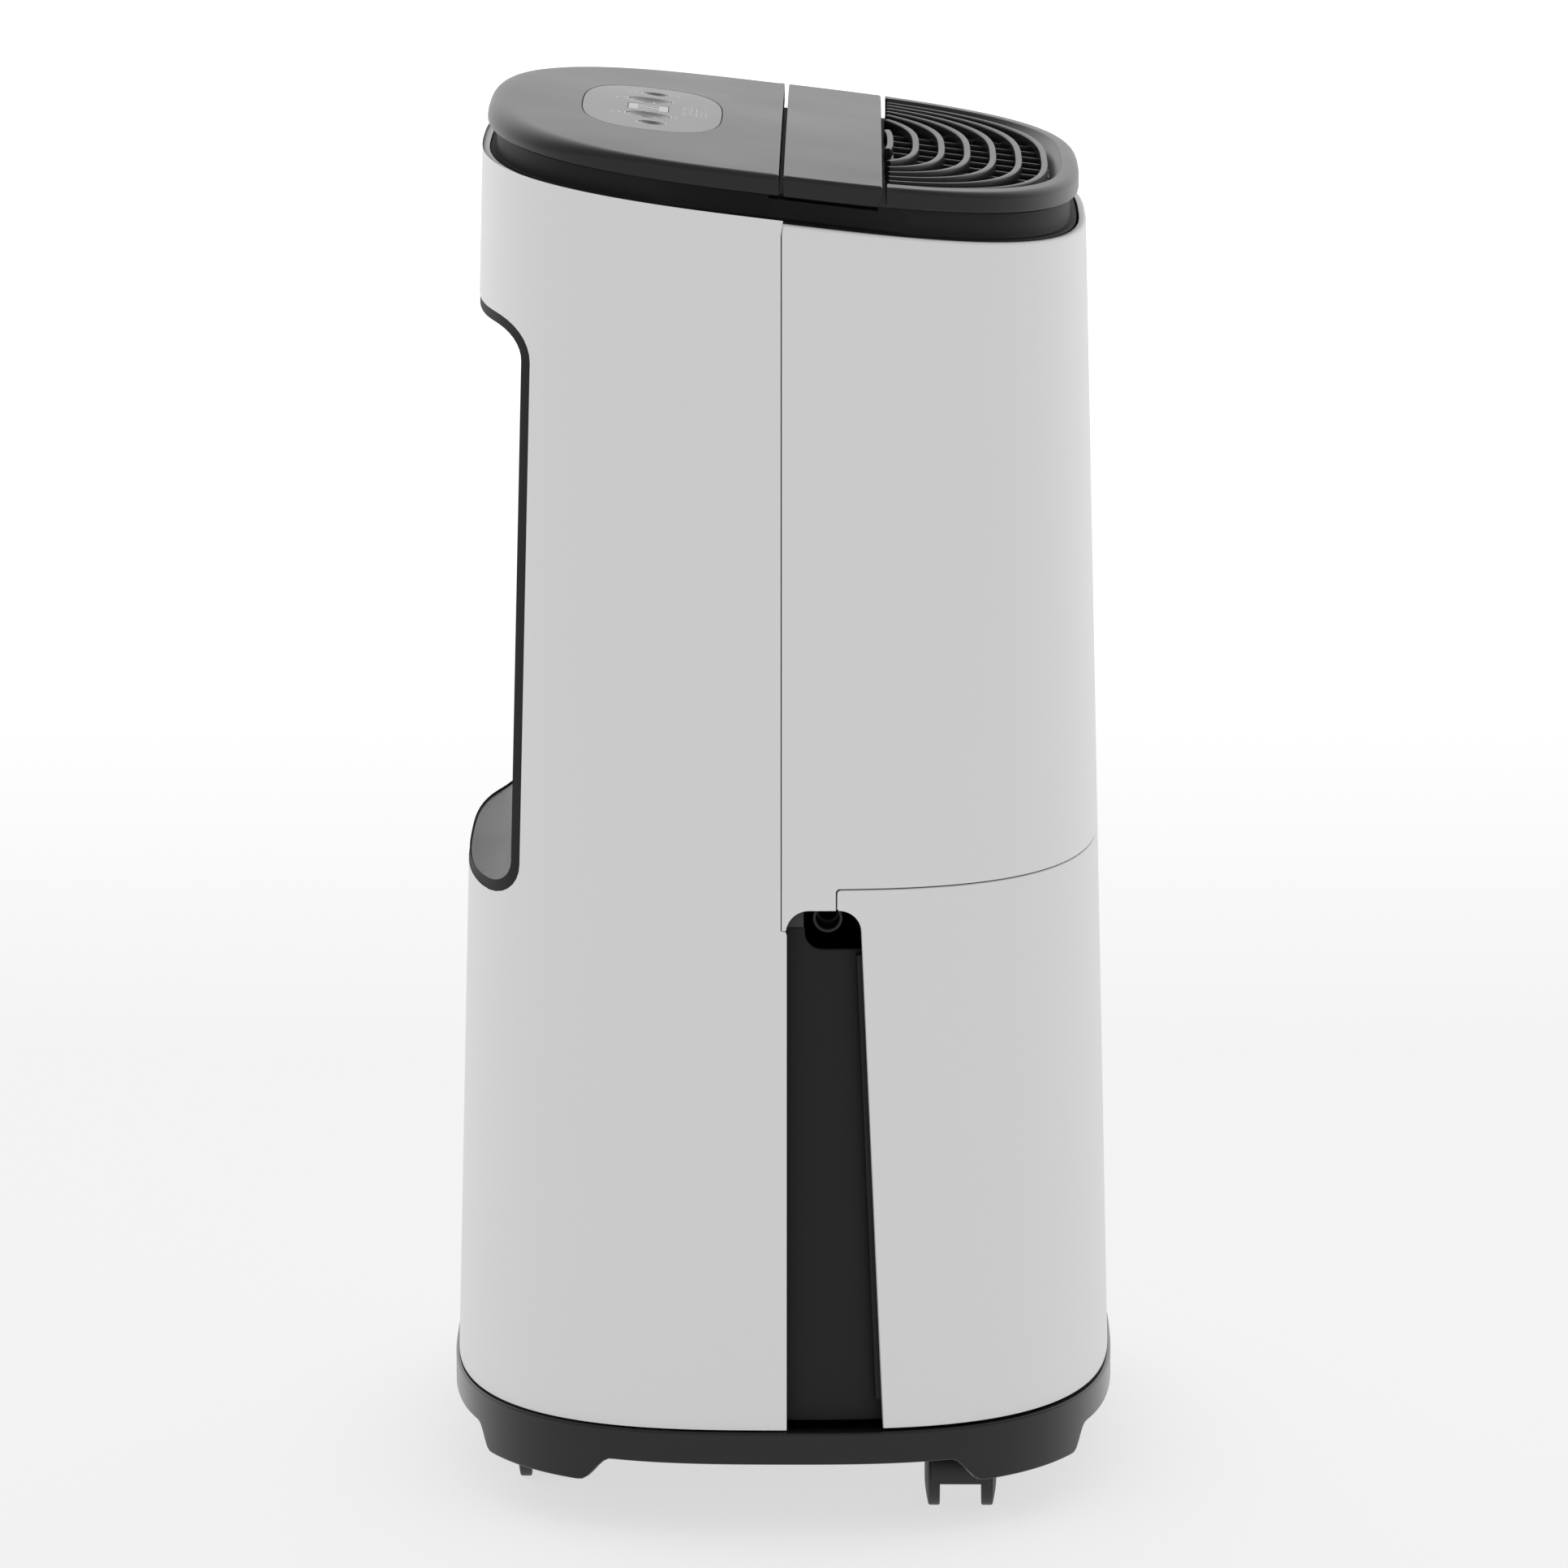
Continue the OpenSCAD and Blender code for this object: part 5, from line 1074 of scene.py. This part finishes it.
# ---- Controls -----------------------------------------------------------------------------
# The rear half of the lid is one textured cover, clipped to the collar. A lighter inlay holds a
# display and four dished keys over switches on a small circuit board, with printed marks.
lid_grey = finish_of("lid_texture", grey(0.013), 0.34, 0.05, 1500, 0.00006, Specular_IOR_Level=0.32)
inlay_grey = finish_of("inlay_grey", grey(0.20), 0.36, 0.03, 2000, 0.00003)
key_grey = finish_of("key_grey", grey(0.030), 0.28, 0.04, 2000, 0.00001)
glass_grey = finish_of("display_window", grey(0.05), 0.14, 0.03, 100, 0.000001)
ink = finish_of("printed_ink", grey(0.80), 0.45, 0.02, 900, 0.000002)
board_green = finish_of("board_green", (0.02, 0.10, 0.05), 0.35, 0.3, 260, 0.00003)
switch_black = finish_of("switch_black", grey(0.015), 0.5, 0.1, 900, 0.00002)
paint("control_board", board_green)
paint("button_switches", switch_black)
PANEL_W, PANEL_L, PANEL_Y = 116.0, 47.0, 44.6
KEYS = {"button_power": (-20, 45.7, 7.35), "button_mode": (20, 45.7, 7.35),
        "button_timer": (-39.5, 44.2, 4.4), "button_fan": (39.5, 44.2, 4.4)}
DISPLAY = (15.3, 13.8, 46.0)


def lid_edge(points):
    """Soft edge of the cover: close on the straight cut, wider along the sides, broad at the end."""
    y = points[:, 1]
    k = np.clip((np.abs(y) - 40) / 55, 0, 1)
    on_cut = np.abs(y - y[np.argmin(np.abs(y))]) < 0.01
    r = np.where(on_cut, 0.5, 1.9 + 3.9 * k * k * (3 - 2 * k))
    a = np.radians(np.linspace(0, 90, 9))
    rows = [np.stack([r * (1 - math.sin(q)) * 1.35, -r * (1 - math.cos(q))], 1) for q in a]
    for q in a[::2]:
        inset, depth = 0.7 * (1 - math.cos(q)), -LID_T + 0.7 * (1 - math.sin(q))
        rows.append(np.stack([inset + 0 * r, depth + 0 * r], 1))
    return np.stack(rows, 1)


def by_loop(first, other, width):
    """One edge for the long outer line, and another for the holes in it."""
    return lambda points: first(points) if np.ptp(points[:, 0]) > width else other(points)


def hole_edge(points):
    """Crisp edge of the opening for the inlay."""
    a = np.radians(np.linspace(0, 90, 9))
    rows = [(0.25 * (1 - math.sin(q)), -0.25 * (1 - math.cos(q))) for q in a]
    rows += [(0.1 * (1 - math.cos(q)), -LID_T + 0.1 * (1 - math.sin(q))) for q in a[::2]]
    return np.repeat(np.array(rows)[None], len(points), 0)


cover_outer = cut_oval(LID_W, LID_D, HANDLE_REAR + GAP_H, 999, 2.0)
cover_hole = (oval(PANEL_W / 2 + 0.25, PANEL_L / 2 + 0.25, 1.5) + (0, PANEL_Y))[::-1]
cover = moulding("lid_cover", [cover_outer, cover_hole], on_lid(), by_loop(lid_edge, hole_edge, 200),
                 lid_grey, 3.5, 12)
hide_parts("control_housing")
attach(cover, "case")

inlay_holes = [(np.array(arc(0, 0, r + 0.2, 0, 360, 48)[:-1]) + (x, y))[::-1] for x, y, r in KEYS.values()]


def display_loop(shrink, r):
    """Outline of the display, drawn in by shrink."""
    w, h = DISPLAY[0] / 2 - shrink, DISPLAY[1] / 2 - shrink
    return spaced(box_loop(-w, w, DISPLAY[2] - h, DISPLAY[2] + h, r), 2)


inlay_holes.append(display_loop(0, 0.8)[::-1])
inlay = moulding("control_inlay", [oval(PANEL_W / 2, PANEL_L / 2, 1.5) + (0, PANEL_Y)] + inlay_holes,
                 on_lid(), rolled(3.0, 0.35, 0.1), inlay_grey, 2.5, 8)
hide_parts("control_panel")
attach(inlay, "case")
window = moulding("display_glass", [display_loop(0.12, 0.7)], on_lid(), rolled(3.0, 0.2, 0.1), glass_grey, 2, 4)
window.data.transform(Matrix.Translation((0, 0, -0.05 * mm)))
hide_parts("display_window")
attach(window, "case")

KEY_TURNS = 64
for name, (kx, ky, kr) in KEYS.items():
    # A cap with a dished face and a rolled rim, a retaining collar, and the stem that presses the switch
    section = [(0.0, -1.1)] + [(kr * k / 9 * 0.9, -0.1 - 1.0 * (1 - (k / 9) ** 2)) for k in range(1, 10)]
    section += [(kr * 0.96, -0.06), (kr - 0.12, -0.2), (kr, -0.45), (kr, -5.8), (kr + 0.9, -5.9)]
    section += [(kr + 0.9, -7.0), (1.8, -7.0), (1.8, -12.6), (0.0, -12.7)]
    verts = [(0, 0, section[0][1])]
    for k in range(KEY_TURNS):
        a = 2 * math.pi * k / KEY_TURNS
        verts += [(r * math.cos(a), r * math.sin(a), v) for r, v in section[1:-1]]
    verts.append((0, 0, section[-1][1]))
    c = len(section) - 2
    faces = []
    for k in range(KEY_TURNS):
        m = (k + 1) % KEY_TURNS
        faces.append((0, 1 + k * c, 1 + m * c))
        faces.append((len(verts) - 1, 1 + k * c + c - 1, 1 + m * c + c - 1))
        faces += [(1 + k * c + i, 1 + k * c + i + 1, 1 + m * c + i + 1, 1 + m * c + i) for i in range(c - 1)]
    top = CROWN * (1 - (abs(kx) / LID_W) ** 2)
    placed = [(x + kx, y + ky, lid_z(0, y + ky, 0) + (v + top) / math.cos(TILT)) for x, y, v in verts]
    key = even_shade(new_object(name + "_cap", placed, faces, key_grey, 45))
    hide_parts(name)
    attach(key, name)

# Printed marks and fine outlines: a flat ribbon laid along each line
ribbon = bpy.data.node_groups.new("swept_ribbon", "GeometryNodeTree")
socket(ribbon, "Geometry", "OUTPUT", "NodeSocketGeometry")
socket(ribbon, "Lines", "INPUT", "NodeSocketGeometry")
ribbon_in = {key: gn_socket(ribbon, key, "NodeSocket" + kind, value) for key, kind, value in (
    ("Width", "Float", 0.0004), ("Height", "Float", 0.0001), ("Rounding", "Float", 0.00002),
    ("Finish", "Material", None))}
rn, rl = ribbon.nodes, ribbon.links
r_in, r_out = rn.new("NodeGroupInput"), rn.new("NodeGroupOutput")
r_curve = rn.new("GeometryNodeMeshToCurve")
rl.new(r_in.outputs["Lines"], r_curve.inputs["Mesh"])
r_up = rn.new("GeometryNodeSetCurveNormal")
r_up.mode = "Z_UP"
rl.new(r_curve.outputs[0], r_up.inputs["Curve"])
r_box = rn.new("GeometryNodeCurvePrimitiveQuadrilateral")
rl.new(r_in.outputs["Width"], r_box.inputs["Width"])
rl.new(r_in.outputs["Height"], r_box.inputs["Height"])
r_round = rn.new("GeometryNodeFilletCurve")
r_round.mode = "POLY"
r_round.inputs["Count"].default_value = 3
r_round.inputs["Limit Radius"].default_value = True
rl.new(r_box.outputs[0], r_round.inputs["Curve"])
rl.new(r_in.outputs["Rounding"], r_round.inputs["Radius"])
r_sweep = rn.new("GeometryNodeCurveToMesh")
r_sweep.inputs["Fill Caps"].default_value = True
rl.new(r_up.outputs[0], r_sweep.inputs["Curve"])
rl.new(r_round.outputs[0], r_sweep.inputs["Profile Curve"])
r_real = rn.new("GeometryNodeRealizeInstances")
rl.new(r_sweep.outputs[0], r_real.inputs[0])
r_mat = rn.new("GeometryNodeSetMaterial")
rl.new(r_real.outputs[0], r_mat.inputs["Geometry"])
rl.new(r_in.outputs["Finish"], r_mat.inputs["Material"])
rl.new(r_mat.outputs[0], r_out.inputs[0])


def swept(name, lines, width, height, rounding, material):
    """Sweeps a rounded bar along each line of points, given in mm; (points, closed) for each."""
    verts, edges = [], []
    for points, closed in lines:
        k, n = len(verts), len(points)
        verts += [Vector(p) * mm for p in points]
        edges += [(k + i, k + (i + 1) % n) for i in range(n if closed else n - 1)]
    mesh = bpy.data.meshes.new(name)
    mesh.from_pydata(verts, edges, [])
    thing = bpy.data.objects.new(name, mesh)
    scene.collection.objects.link(thing)
    m = thing.modifiers.new("sweep", "NODES")
    m.node_group = ribbon
    for key, value in (("Width", width), ("Height", height), ("Rounding", rounding)):
        m[ribbon_in[key]] = value * mm
    m[ribbon_in["Finish"]] = material
    return laid(one_material(settle(thing), material), Matrix())


def on_top(points, lift=0.0, sink=None):
    """Points (x, y) of the lid's surface, lifted off it."""
    q = np.asarray(points, float)
    z = lid_z(q[:, 0], q[:, 1], lift, True) - (sink(q) if sink else 0)
    return np.stack([q[:, 0], q[:, 1], z], 1)


def round_mark(x, y, r, start=0, end=360, steps=40):
    """A ring or a part of one round (x, y)."""
    return [(x + px, y + py) for px, py in arc(0, 0, r, start, end, steps)]


INK_W, INK_T, ICON_LIFT, DIGIT_SINK = 0.48, 0.06, 0.03, -0.03
lines = [(round_mark(kx, ky, kr + 0.45)[:-1], True) for kx, ky, kr in KEYS.values()]
lines += [(round_mark(x, y, 1.5)[:-1], True) for x, y in ((40.2, 52.2), (20.3, 55.8), (-21, 56.7))]
lines += [(round_mark(-20.8, 34.8, 1.8, 20, 160, 12), False), ([(38.6, 36.4), (41.6, 36.4)], False),
          ([(39.3, 37.4), (40.9, 37.4)], False)]
lamps = [(x, 32.7) for x in (-9.3, -3.1, 3.1, 9.3)]
lines += [(round_mark(x, y, 1.45)[:-1], True) for x, y in lamps]
for k, (x, y) in enumerate(lamps):
    lines += [([(x - 1.3, 29.6), (x + 1.3, 29.6)], False), ([(x - 1.3 + 0.4 * k, 28.0), (x + 1.0, 28.0)], False),
              ([(x - 0.9, 26.4), (x + 1.3 - 0.3 * k, 26.4)], False)]
marks = [(on_top(line), closed) for line, closed in lines]
print_lines = swept("panel_print", marks, INK_W, INK_T, 0.01, ink)
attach(print_lines, "case")
digits = []
for dx in (-3.4, 3.4):
    x0, x1, y0, y1 = dx - 1.5, dx + 1.5, DISPLAY[2] - 3.4, DISPLAY[2] + 3.4
    digits += [(on_top([(x0, y0), (x1, y0), (x1, y1), (x0, y1)], DIGIT_SINK), True),
               (on_top([(x0, DISPLAY[2]), (x1, DISPLAY[2])], DIGIT_SINK), False)]
digit_lines = swept("display_digits", digits, 0.5, 0.05, 0.01, inlay_grey)
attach(digit_lines, "case")
for name, (kx, ky, kr) in KEYS.items():
    def dish(q):
        """How far the dished cap lies under the lid there."""
        d = np.hypot(q[:, 0] - kx, q[:, 1] - ky) / (kr * 0.9)
        return 0.1 + 1.0 * (1 - d * d)

    if name == "button_power":
        lines = [(round_mark(kx, ky, 2.6, -240, 60, 24), False), ([(kx, ky + 1.0), (kx, ky + 3.4)], False)]
    elif name == "button_mode":
        lines = [([(kx - 2.6, ky - 1.2), (kx + 2.6, ky - 1.2)], False),
                 (round_mark(kx, ky + 0.4, 2.4, 0, 180, 16), False)]
    elif name == "button_timer":
        lines = [(round_mark(kx, ky, 1.7)[:-1], True), ([(kx, ky + 1.1), (kx, ky), (kx + 0.9, ky)], False)]
    else:
        lines = [(round_mark(kx + 0.9 * math.cos(a), ky + 0.9 * math.sin(a), 0.8, math.degrees(a) - 90,
                             math.degrees(a) + 90, 8), False) for a in (0.5, 2.6, 4.7)]
    icon = [(on_top(line, ICON_LIFT, sink=dish), closed) for line, closed in lines]
    picture = swept(name + "_icon", icon, INK_W, INK_T, 0.01, ink)
    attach(picture, name)


# ---- Outlet grille ------------------------------------------------------------------------
# Front of the lid: a moulded frame with a rounded nose round a sloping bowl. Thick ribs that
# repeat its outline stand on thin straight bars, all of the frame's own plastic.
BORDER_W, BORDER_D, RIB_IN_W, RIB_IN_D = 8.0, 5.8, 11.0, 10.5
RIB_PITCH, RIB_W, RIB_DEPTH, RIBS, BAR_PITCH = 8.7, 2.2, 5.0, 7, 15.7
GRILLE_REAR = HANDLE_FRONT - GAP_H


def front_arc(w, d, y, step):
    """The outline of half sizes w and d, from depth y on -X round the front to +X."""
    a = math.asin(min(1, abs(y) / d) ** (SQUARE / 2))
    return oval(w, d, step, math.pi + a, 2 * math.pi - a)


def frame_edge(points):
    """Soft outer edge, and on the inner side a slope down to the ledge under the ribs."""
    k = np.clip((np.abs(points[:, 1]) - 40) / 55, 0, 1)
    on = (np.abs(points[:, 0]) / LID_W) ** SQUARE + (np.abs(points[:, 1]) / LID_D) ** SQUARE
    outer_side = on > 0.99
    cut = np.abs(points[:, 1] - GRILLE_REAR) < 0.01
    r_out = 1.5 + 1.2 * k
    front = np.clip((np.abs(points[:, 1]) / LID_D) ** 3, 0, 1)
    slope_in = 3.0 + 1.7 * front
    a = np.radians(np.linspace(0, 90, 8))
    rows = []
    for q in a:
        out_row = np.stack([r_out * (1 - math.sin(q)) * 1.1, -r_out * (1 - math.cos(q))], 1)
        in_row = np.stack([0.8 * (1 - math.sin(q)) - 0.3 * (1 - math.cos(q)) + 0 * k,
                           -0.9 * (1 - math.cos(q)) + 0 * k], 1)
        cut_row = np.stack([0.4 * (1 - math.sin(q)) + 0 * k, -0.4 * (1 - math.cos(q)) + 0 * k], 1)
        rows.append(np.where(outer_side[:, None], out_row, in_row))
        rows[-1] = np.where(cut[:, None], cut_row, rows[-1])
    for f in (0.35, 0.7, 0.95, 1.0):
        out_row = np.stack([0 * k, -(r_out + (LID_T - 0.8 - r_out) * f)], 1)
        in_row = np.stack([-0.3 - (slope_in - 0.3) * f, -0.9 - 4.0 * f + 0 * k], 1)
        rows.append(np.where((outer_side | cut)[:, None], out_row, in_row))
    for q in a[::2]:
        out_row = np.stack([0.8 * (1 - math.cos(q)) + 0 * k, -LID_T + 0.8 * (1 - math.sin(q)) + 0 * k], 1)
        in_row = np.stack([-slope_in - 1.7 + 0.3 * (1 - math.cos(q)),
                           -LID_T + 1.9 * (1 - math.sin(q)) + 0 * k], 1)
        rows.append(np.where((outer_side | cut)[:, None], out_row, in_row))
    return np.stack(rows, 1)


outer_nose = front_arc(LID_W, LID_D, GRILLE_REAR, 2.0)
inner_nose = front_arc(LID_W - BORDER_W, LID_D - BORDER_D, GRILLE_REAR, 2.0)[::-1]
frame_loop = np.concatenate([outer_nose, inner_nose])
grille_frame = moulding("outlet_frame", [frame_loop], on_lid(), frame_edge, lid_grey, 3, 6, 60)
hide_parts("outlet_grille")
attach(grille_frame, "case")
rib_lines, bar_lines = [], []
for k in range(RIBS):
    w, d = LID_W - RIB_IN_W - RIB_W / 2 - k * RIB_PITCH, LID_D - RIB_IN_D - RIB_W / 2 - k * RIB_PITCH
    if d > abs(GRILLE_REAR) + 1:
        rib_lines.append((on_top(front_arc(w, d, GRILLE_REAR - 0.4, 1.2), -1 - RIB_DEPTH / 2), False))
for k in range(16):
    x = (k - 7.5) * BAR_PITCH
    w, d = LID_W - BORDER_W - 1.5, LID_D - BORDER_D - 1.5
    front_y = -d * max(0, 1 - (abs(x) / w) ** SQUARE) ** (1 / SQUARE)
    if abs(x) < w and front_y < GRILLE_REAR - 4:
        bar_lines.append((on_top([(x, GRILLE_REAR - 1.2), (x, front_y)], -LID_T + 1.3), False))
ribs = swept("outlet_ribs", rib_lines, RIB_W, RIB_DEPTH, 0.55, lid_grey)
bars = swept("outlet_bars", bar_lines, 1.5, 2.4, 0.35, lid_grey)
back_x = (LID_W - BORDER_W - 1.0)
back_line = spaced([(-back_x, GRILLE_REAR - 1.3), (back_x, GRILLE_REAR - 1.3)], 6, closed=False)
back_bar = swept("outlet_back_bar", [(on_top(back_line, -LID_T + 1.35), False)], 2.4, 2.5, 0.4, lid_grey)
for piece in (ribs, bars, back_bar):
    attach(piece, "case")


# ---- Lift handle --------------------------------------------------------------------------
# A bar across the lid that pulls up on two flat legs. It is moulded like the lid's cover, with a
# chamfer under its front edge so that fingers can get below it.
LEG_T, LEG_W, CHAMFER = 5.0, 14.0, 3.6
handle_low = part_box("handle")[0].z / mm


def handle_edge(points):
    """Small radii along the cuts, the lid's own at the ends, and the chamfer in front."""
    y = points[:, 1]
    corner = np.abs(points[:, 0]) > np.abs(points[:, 0]).max() - 1.2
    front_cut = (np.abs(y - HANDLE_FRONT) < 0.01) & ~corner
    rear_cut = (np.abs(y - HANDLE_REAR) < 0.01) & ~corner
    r = np.where(front_cut, 0.9, np.where(rear_cut, 0.5, 1.5))
    a = np.radians(np.linspace(0, 90, 8))
    rows = [np.stack([r * (1 - math.sin(q)), -r * (1 - math.cos(q))], 1) for q in a]
    # Below the face: (inset, height above the underside) at the front cut, and the same elsewhere
    for front, other in (((0, CHAMFER + 0.3), (0, 0.7)), ((0.1, CHAMFER), (0.05, 0.4)),
                         ((CHAMFER - 0.2, 0.15), (0.25, 0.12)), ((CHAMFER + 0.2, 0), (0.6, 0))):
        rows.append(np.stack([np.where(front_cut, front[0], other[0]),
                              np.where(front_cut, -LID_T + front[1], -LID_T + other[1])], 1))
    return np.stack(rows, 1)


bar_outline = cut_oval(LID_W, LID_D, HANDLE_FRONT, HANDLE_REAR, 1.5)
grip = moulding("handle_bar", [bar_outline], on_lid(), handle_edge, lid_grey, 3.5, 10, 38)
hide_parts("handle")
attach(grip, "handle")
for side, label in ((-1, "left"), (1, "right")):
    x = side * leg_x
    leg_loop = spaced(box_loop(x - LEG_T / 2, x + LEG_T / 2, leg_y - LEG_W / 2, leg_y + LEG_W / 2, 1.0), 3)
    leg_top = LID_TOP + (leg_y - LEG_W / 2) * math.tan(TILT) - 2.2

    def upright(uv, d):
        return np.stack([uv[:, 0], uv[:, 1], leg_top + np.asarray(d) * np.ones(len(uv))], 1)

    bar = moulding("handle_leg_" + label, [leg_loop], upright, rolled(leg_top - handle_low, 0.3, 0.8),
                   lid_grey, 3, 5)
    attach(bar, "handle")


# ---- Water tank ---------------------------------------------------------------------------
# A black polypropylene bucket with a white cover clipped on its front, flush with the body. Each
# side has a grip pocket, and a notch over it for the drain spout.
bucket_black = finish_of("bucket_black", grey(0.016), 0.5, 0.06, 700, 0.00002, Specular_IOR_Level=0.2)
BUCKET_IN, BUCKET_T, BUCKET_REAR = 8.0, 2.0, -1.7
bucket_low, bucket_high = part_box("tank_bucket")[0].z / mm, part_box("tank_bucket")[1].z / mm
cover_low = [p for p in pocket_line() if p[0] < -TAB_Y - JOINT / 2 - 0.1]
tab_front, tank_top, corner_r = -TAB_Y - JOINT / 2, TANK_Z - JOINT / 2, 1.3
side_cover = arc(tab_front - corner_r, tank_top - corner_r, corner_r, 90, 0, 4)
side_cover += [(tab_front, POCKET_TOP + 0.6)] + cover_low
side_line = spaced(side_cover, 4, closed=False)
right_side, left_side = on_side(side_line, False), on_side(side_line, True, True)
seam_u = np.linspace(right_side[0, 0], left_side[0, 0], 170)[1:-1]
foot_u = np.linspace(left_side[-1, 0], right_side[-1, 0], 150)[1:-1]
cover_loop = np.concatenate([np.stack([foot_u, np.full(len(foot_u), BASE_Z)], 1), right_side[::-1],
                             np.stack([seam_u, np.full(len(seam_u), TANK_Z - JOINT / 2)], 1), left_side])
tank_front = moulding("tank_cover_white", [cover_loop], body_wall(), rolled(SHELL, 0.35, 0.2),
                      white_abs, 5, 16)
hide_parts("tank_cover")
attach(tank_front, "tank")

wall_low = bucket_low - 2.2
notch = [(BUCKET_REAR, wall_low), (BUCKET_REAR, bucket_high), (-7.9, bucket_high)]
notch += arc(-7.9 - 6, bucket_high - 1.5, 6, 0, -90, 8)[1:]
notch += [(-31.5, bucket_high - 7.5), (-32.0, bucket_high - 7.0), (-32.0, bucket_high)]
side_line = spaced(notch, 4, closed=False)


def on_bucket(points, left):
    """Points (y, z) of the side view as (way round, height) on the bucket's wall."""
    q = np.asarray(points, float)
    y = q[:, 0] * half_d(q[:, 1]) / (half_d(q[:, 1]) - BUCKET_IN)
    a = np.arcsin(np.clip(np.abs(y) / half_d(q[:, 1]), 0, 1) ** (SQUARE / 2)) * np.sign(y)
    u = np.interp(math.pi - a if left else a, _t, _u)
    return np.stack([u - ROUND if left else u, q[:, 1]], 1)


right_side, left_side = on_bucket(side_line, False), on_bucket(side_line, True)
top_u = np.linspace(right_side[-1, 0], left_side[-1, 0], 110)[1:-1]
low_u = np.linspace(left_side[0, 0], right_side[0, 0], 150)[1:-1]
bucket_loop = np.concatenate([np.stack([low_u, np.full(len(low_u), wall_low)], 1), right_side,
                              np.stack([top_u, np.full(len(top_u), bucket_high)], 1), left_side[::-1]])
bucket_wall = moulding("bucket_wall", [bucket_loop], body_wall(BUCKET_IN), rolled(BUCKET_T, 0.4, 0.3),
                       bucket_black, 6, 14)
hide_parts("tank_bucket")
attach(bucket_wall, "tank")
spout_lo, spout_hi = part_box("drain_spout")
spout_tip = -spout_lo.x / mm


def back_w(z):
    """Half the width of the bucket's back at that height."""
    return half_w(z) - BUCKET_IN - 1.2


back_top = bucket_high - 4
back_loop = spaced([(-back_w(bucket_low), bucket_low + 0.3), (back_w(bucket_low), bucket_low + 0.3),
                    (back_w(back_top), back_top), (-back_w(back_top), back_top)], 6)


def on_back(uv, d):
    """The bucket's flat back, seen from the front of the body."""
    return np.stack([uv[:, 0], np.full(len(uv), BUCKET_REAR - BUCKET_T) - np.asarray(d), uv[:, 1]], 1)


bucket_back = moulding("bucket_back", [back_loop], on_back, rolled(BUCKET_T, 0.3, 0.3), bucket_black, 8, 12)
floor_w, floor_d = half_w(bucket_low) - BUCKET_IN - 0.6, half_d(bucket_low) - BUCKET_IN - 0.6
floor_arc = front_arc(floor_w, floor_d, BUCKET_REAR - 0.3, 4)
floor_loop = np.concatenate([floor_arc, spaced([floor_arc[-1], floor_arc[0]], 5, closed=False)[1:-1]])


def on_floor(uv, d):
    """The bucket's floor, seen from above."""
    return np.stack([uv[:, 0], uv[:, 1], bucket_low + BUCKET_T + np.asarray(d) * np.ones(len(uv))], 1)


bucket_floor = moulding("bucket_floor", [floor_loop], on_floor, rolled(BUCKET_T, 0.3, 0.6),
                        bucket_black, 9, 12)
# Return flange of the grip: a thin upright band along the pocket's slanted front edge
band = []
for z in np.linspace(bucket_low + 6, bucket_high - 8.6, 40):
    band.append((-POCKET_REAR - POCKET_W - slope * (POCKET_TOP - z) + 1.3, z))
band_out = [(y - 4.0, z) for y, z in band]
flange_loops = []
for left in (False, True):
    a, b = on_side(band, left, True), on_side(band_out, left, True)
    loop = np.concatenate([a, b[::-1]])
    if sum(p[0] * q[1] - q[0] * p[1] for p, q in zip(loop, np.roll(loop, -1, 0))) < 0:
        loop = loop[::-1]
    flange_loops.append(loop)
flanges = [moulding("grip_flange_" + label, [loop], body_wall(3.0), rolled(5.3, 0.5, 0.2), bucket_black, 4, 8)
           for label, loop in zip(("right", "left"), flange_loops)]
for piece in (bucket_back, bucket_floor, *flanges):
    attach(piece, "tank")
foam = finish_of("float_foam", grey(0.60), 0.85, 0.08, 900, 0.00008)
paint("float", foam)
paint("float_pin", axle_metal)


# ---- Drain spout --------------------------------------------------------------------------
# A polypropylene elbow under the deck. Its mouth takes the plug of a drain hose, and is reached
# through the bucket's notch at the top of the grip pocket.
spout_r, socket_r, SOCKET_DEPTH, BORE_R = 5.0, 3.85, 12.0, 3.25
spout_y, spout_z = (spout_lo.y + spout_hi.y) / 2 / mm, spout_lo.z / mm + spout_r
profile = [(socket_r, SOCKET_DEPTH), (socket_r, 0.5), (socket_r + 0.15, 0.12), (socket_r + 0.4, 0.0),
           (spout_r - 0.35, 0.0), (spout_r - 0.1, 0.1), (spout_r, 0.4), (spout_r, 19.0), (BORE_R, 19.0),
           (BORE_R, SOCKET_DEPTH)]
ring_v, ring_f = turned(profile, 56)
mouth_v = [(-spout_tip + y, spout_y + x, spout_z + z) for x, y, z in ring_v]
mouth = new_object("drain_mouth", mouth_v, ring_f, black_pp, 40)
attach(mouth, "case")
riser_x = -(spout_tip - 20)
riser_low, riser_high = spout_z + 4.0, spout_hi.z / mm
riser = [(BORE_R, riser_high), (BORE_R, riser_low), (spout_r - 0.2, riser_low), (spout_r, riser_low + 0.3),
         (spout_r, riser_high - 0.2), (spout_r - 0.2, riser_high)]
riser_v, riser_f = turned(riser, 40)
riser_v = [(riser_x + x, spout_y - z, y) for x, y, z in riser_v]
pipe_up = new_object("drain_riser", riser_v, riser_f, black_pp, 40)
knee = [(spout_r * math.cos(a), spout_r * math.sin(a)) for a in np.radians(np.linspace(-89, 89, 15))]
knee_v, knee_f = turned([(0.05, -spout_r)] + knee + [(0.05, spout_r)], 40)
elbow = new_object("drain_elbow", shifted((knee_v, knee_f), riser_x, spout_y, spout_z)[0], knee_f, black_pp, 40)
for piece in (pipe_up, elbow):
    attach(piece, "case")
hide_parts("drain_spout")
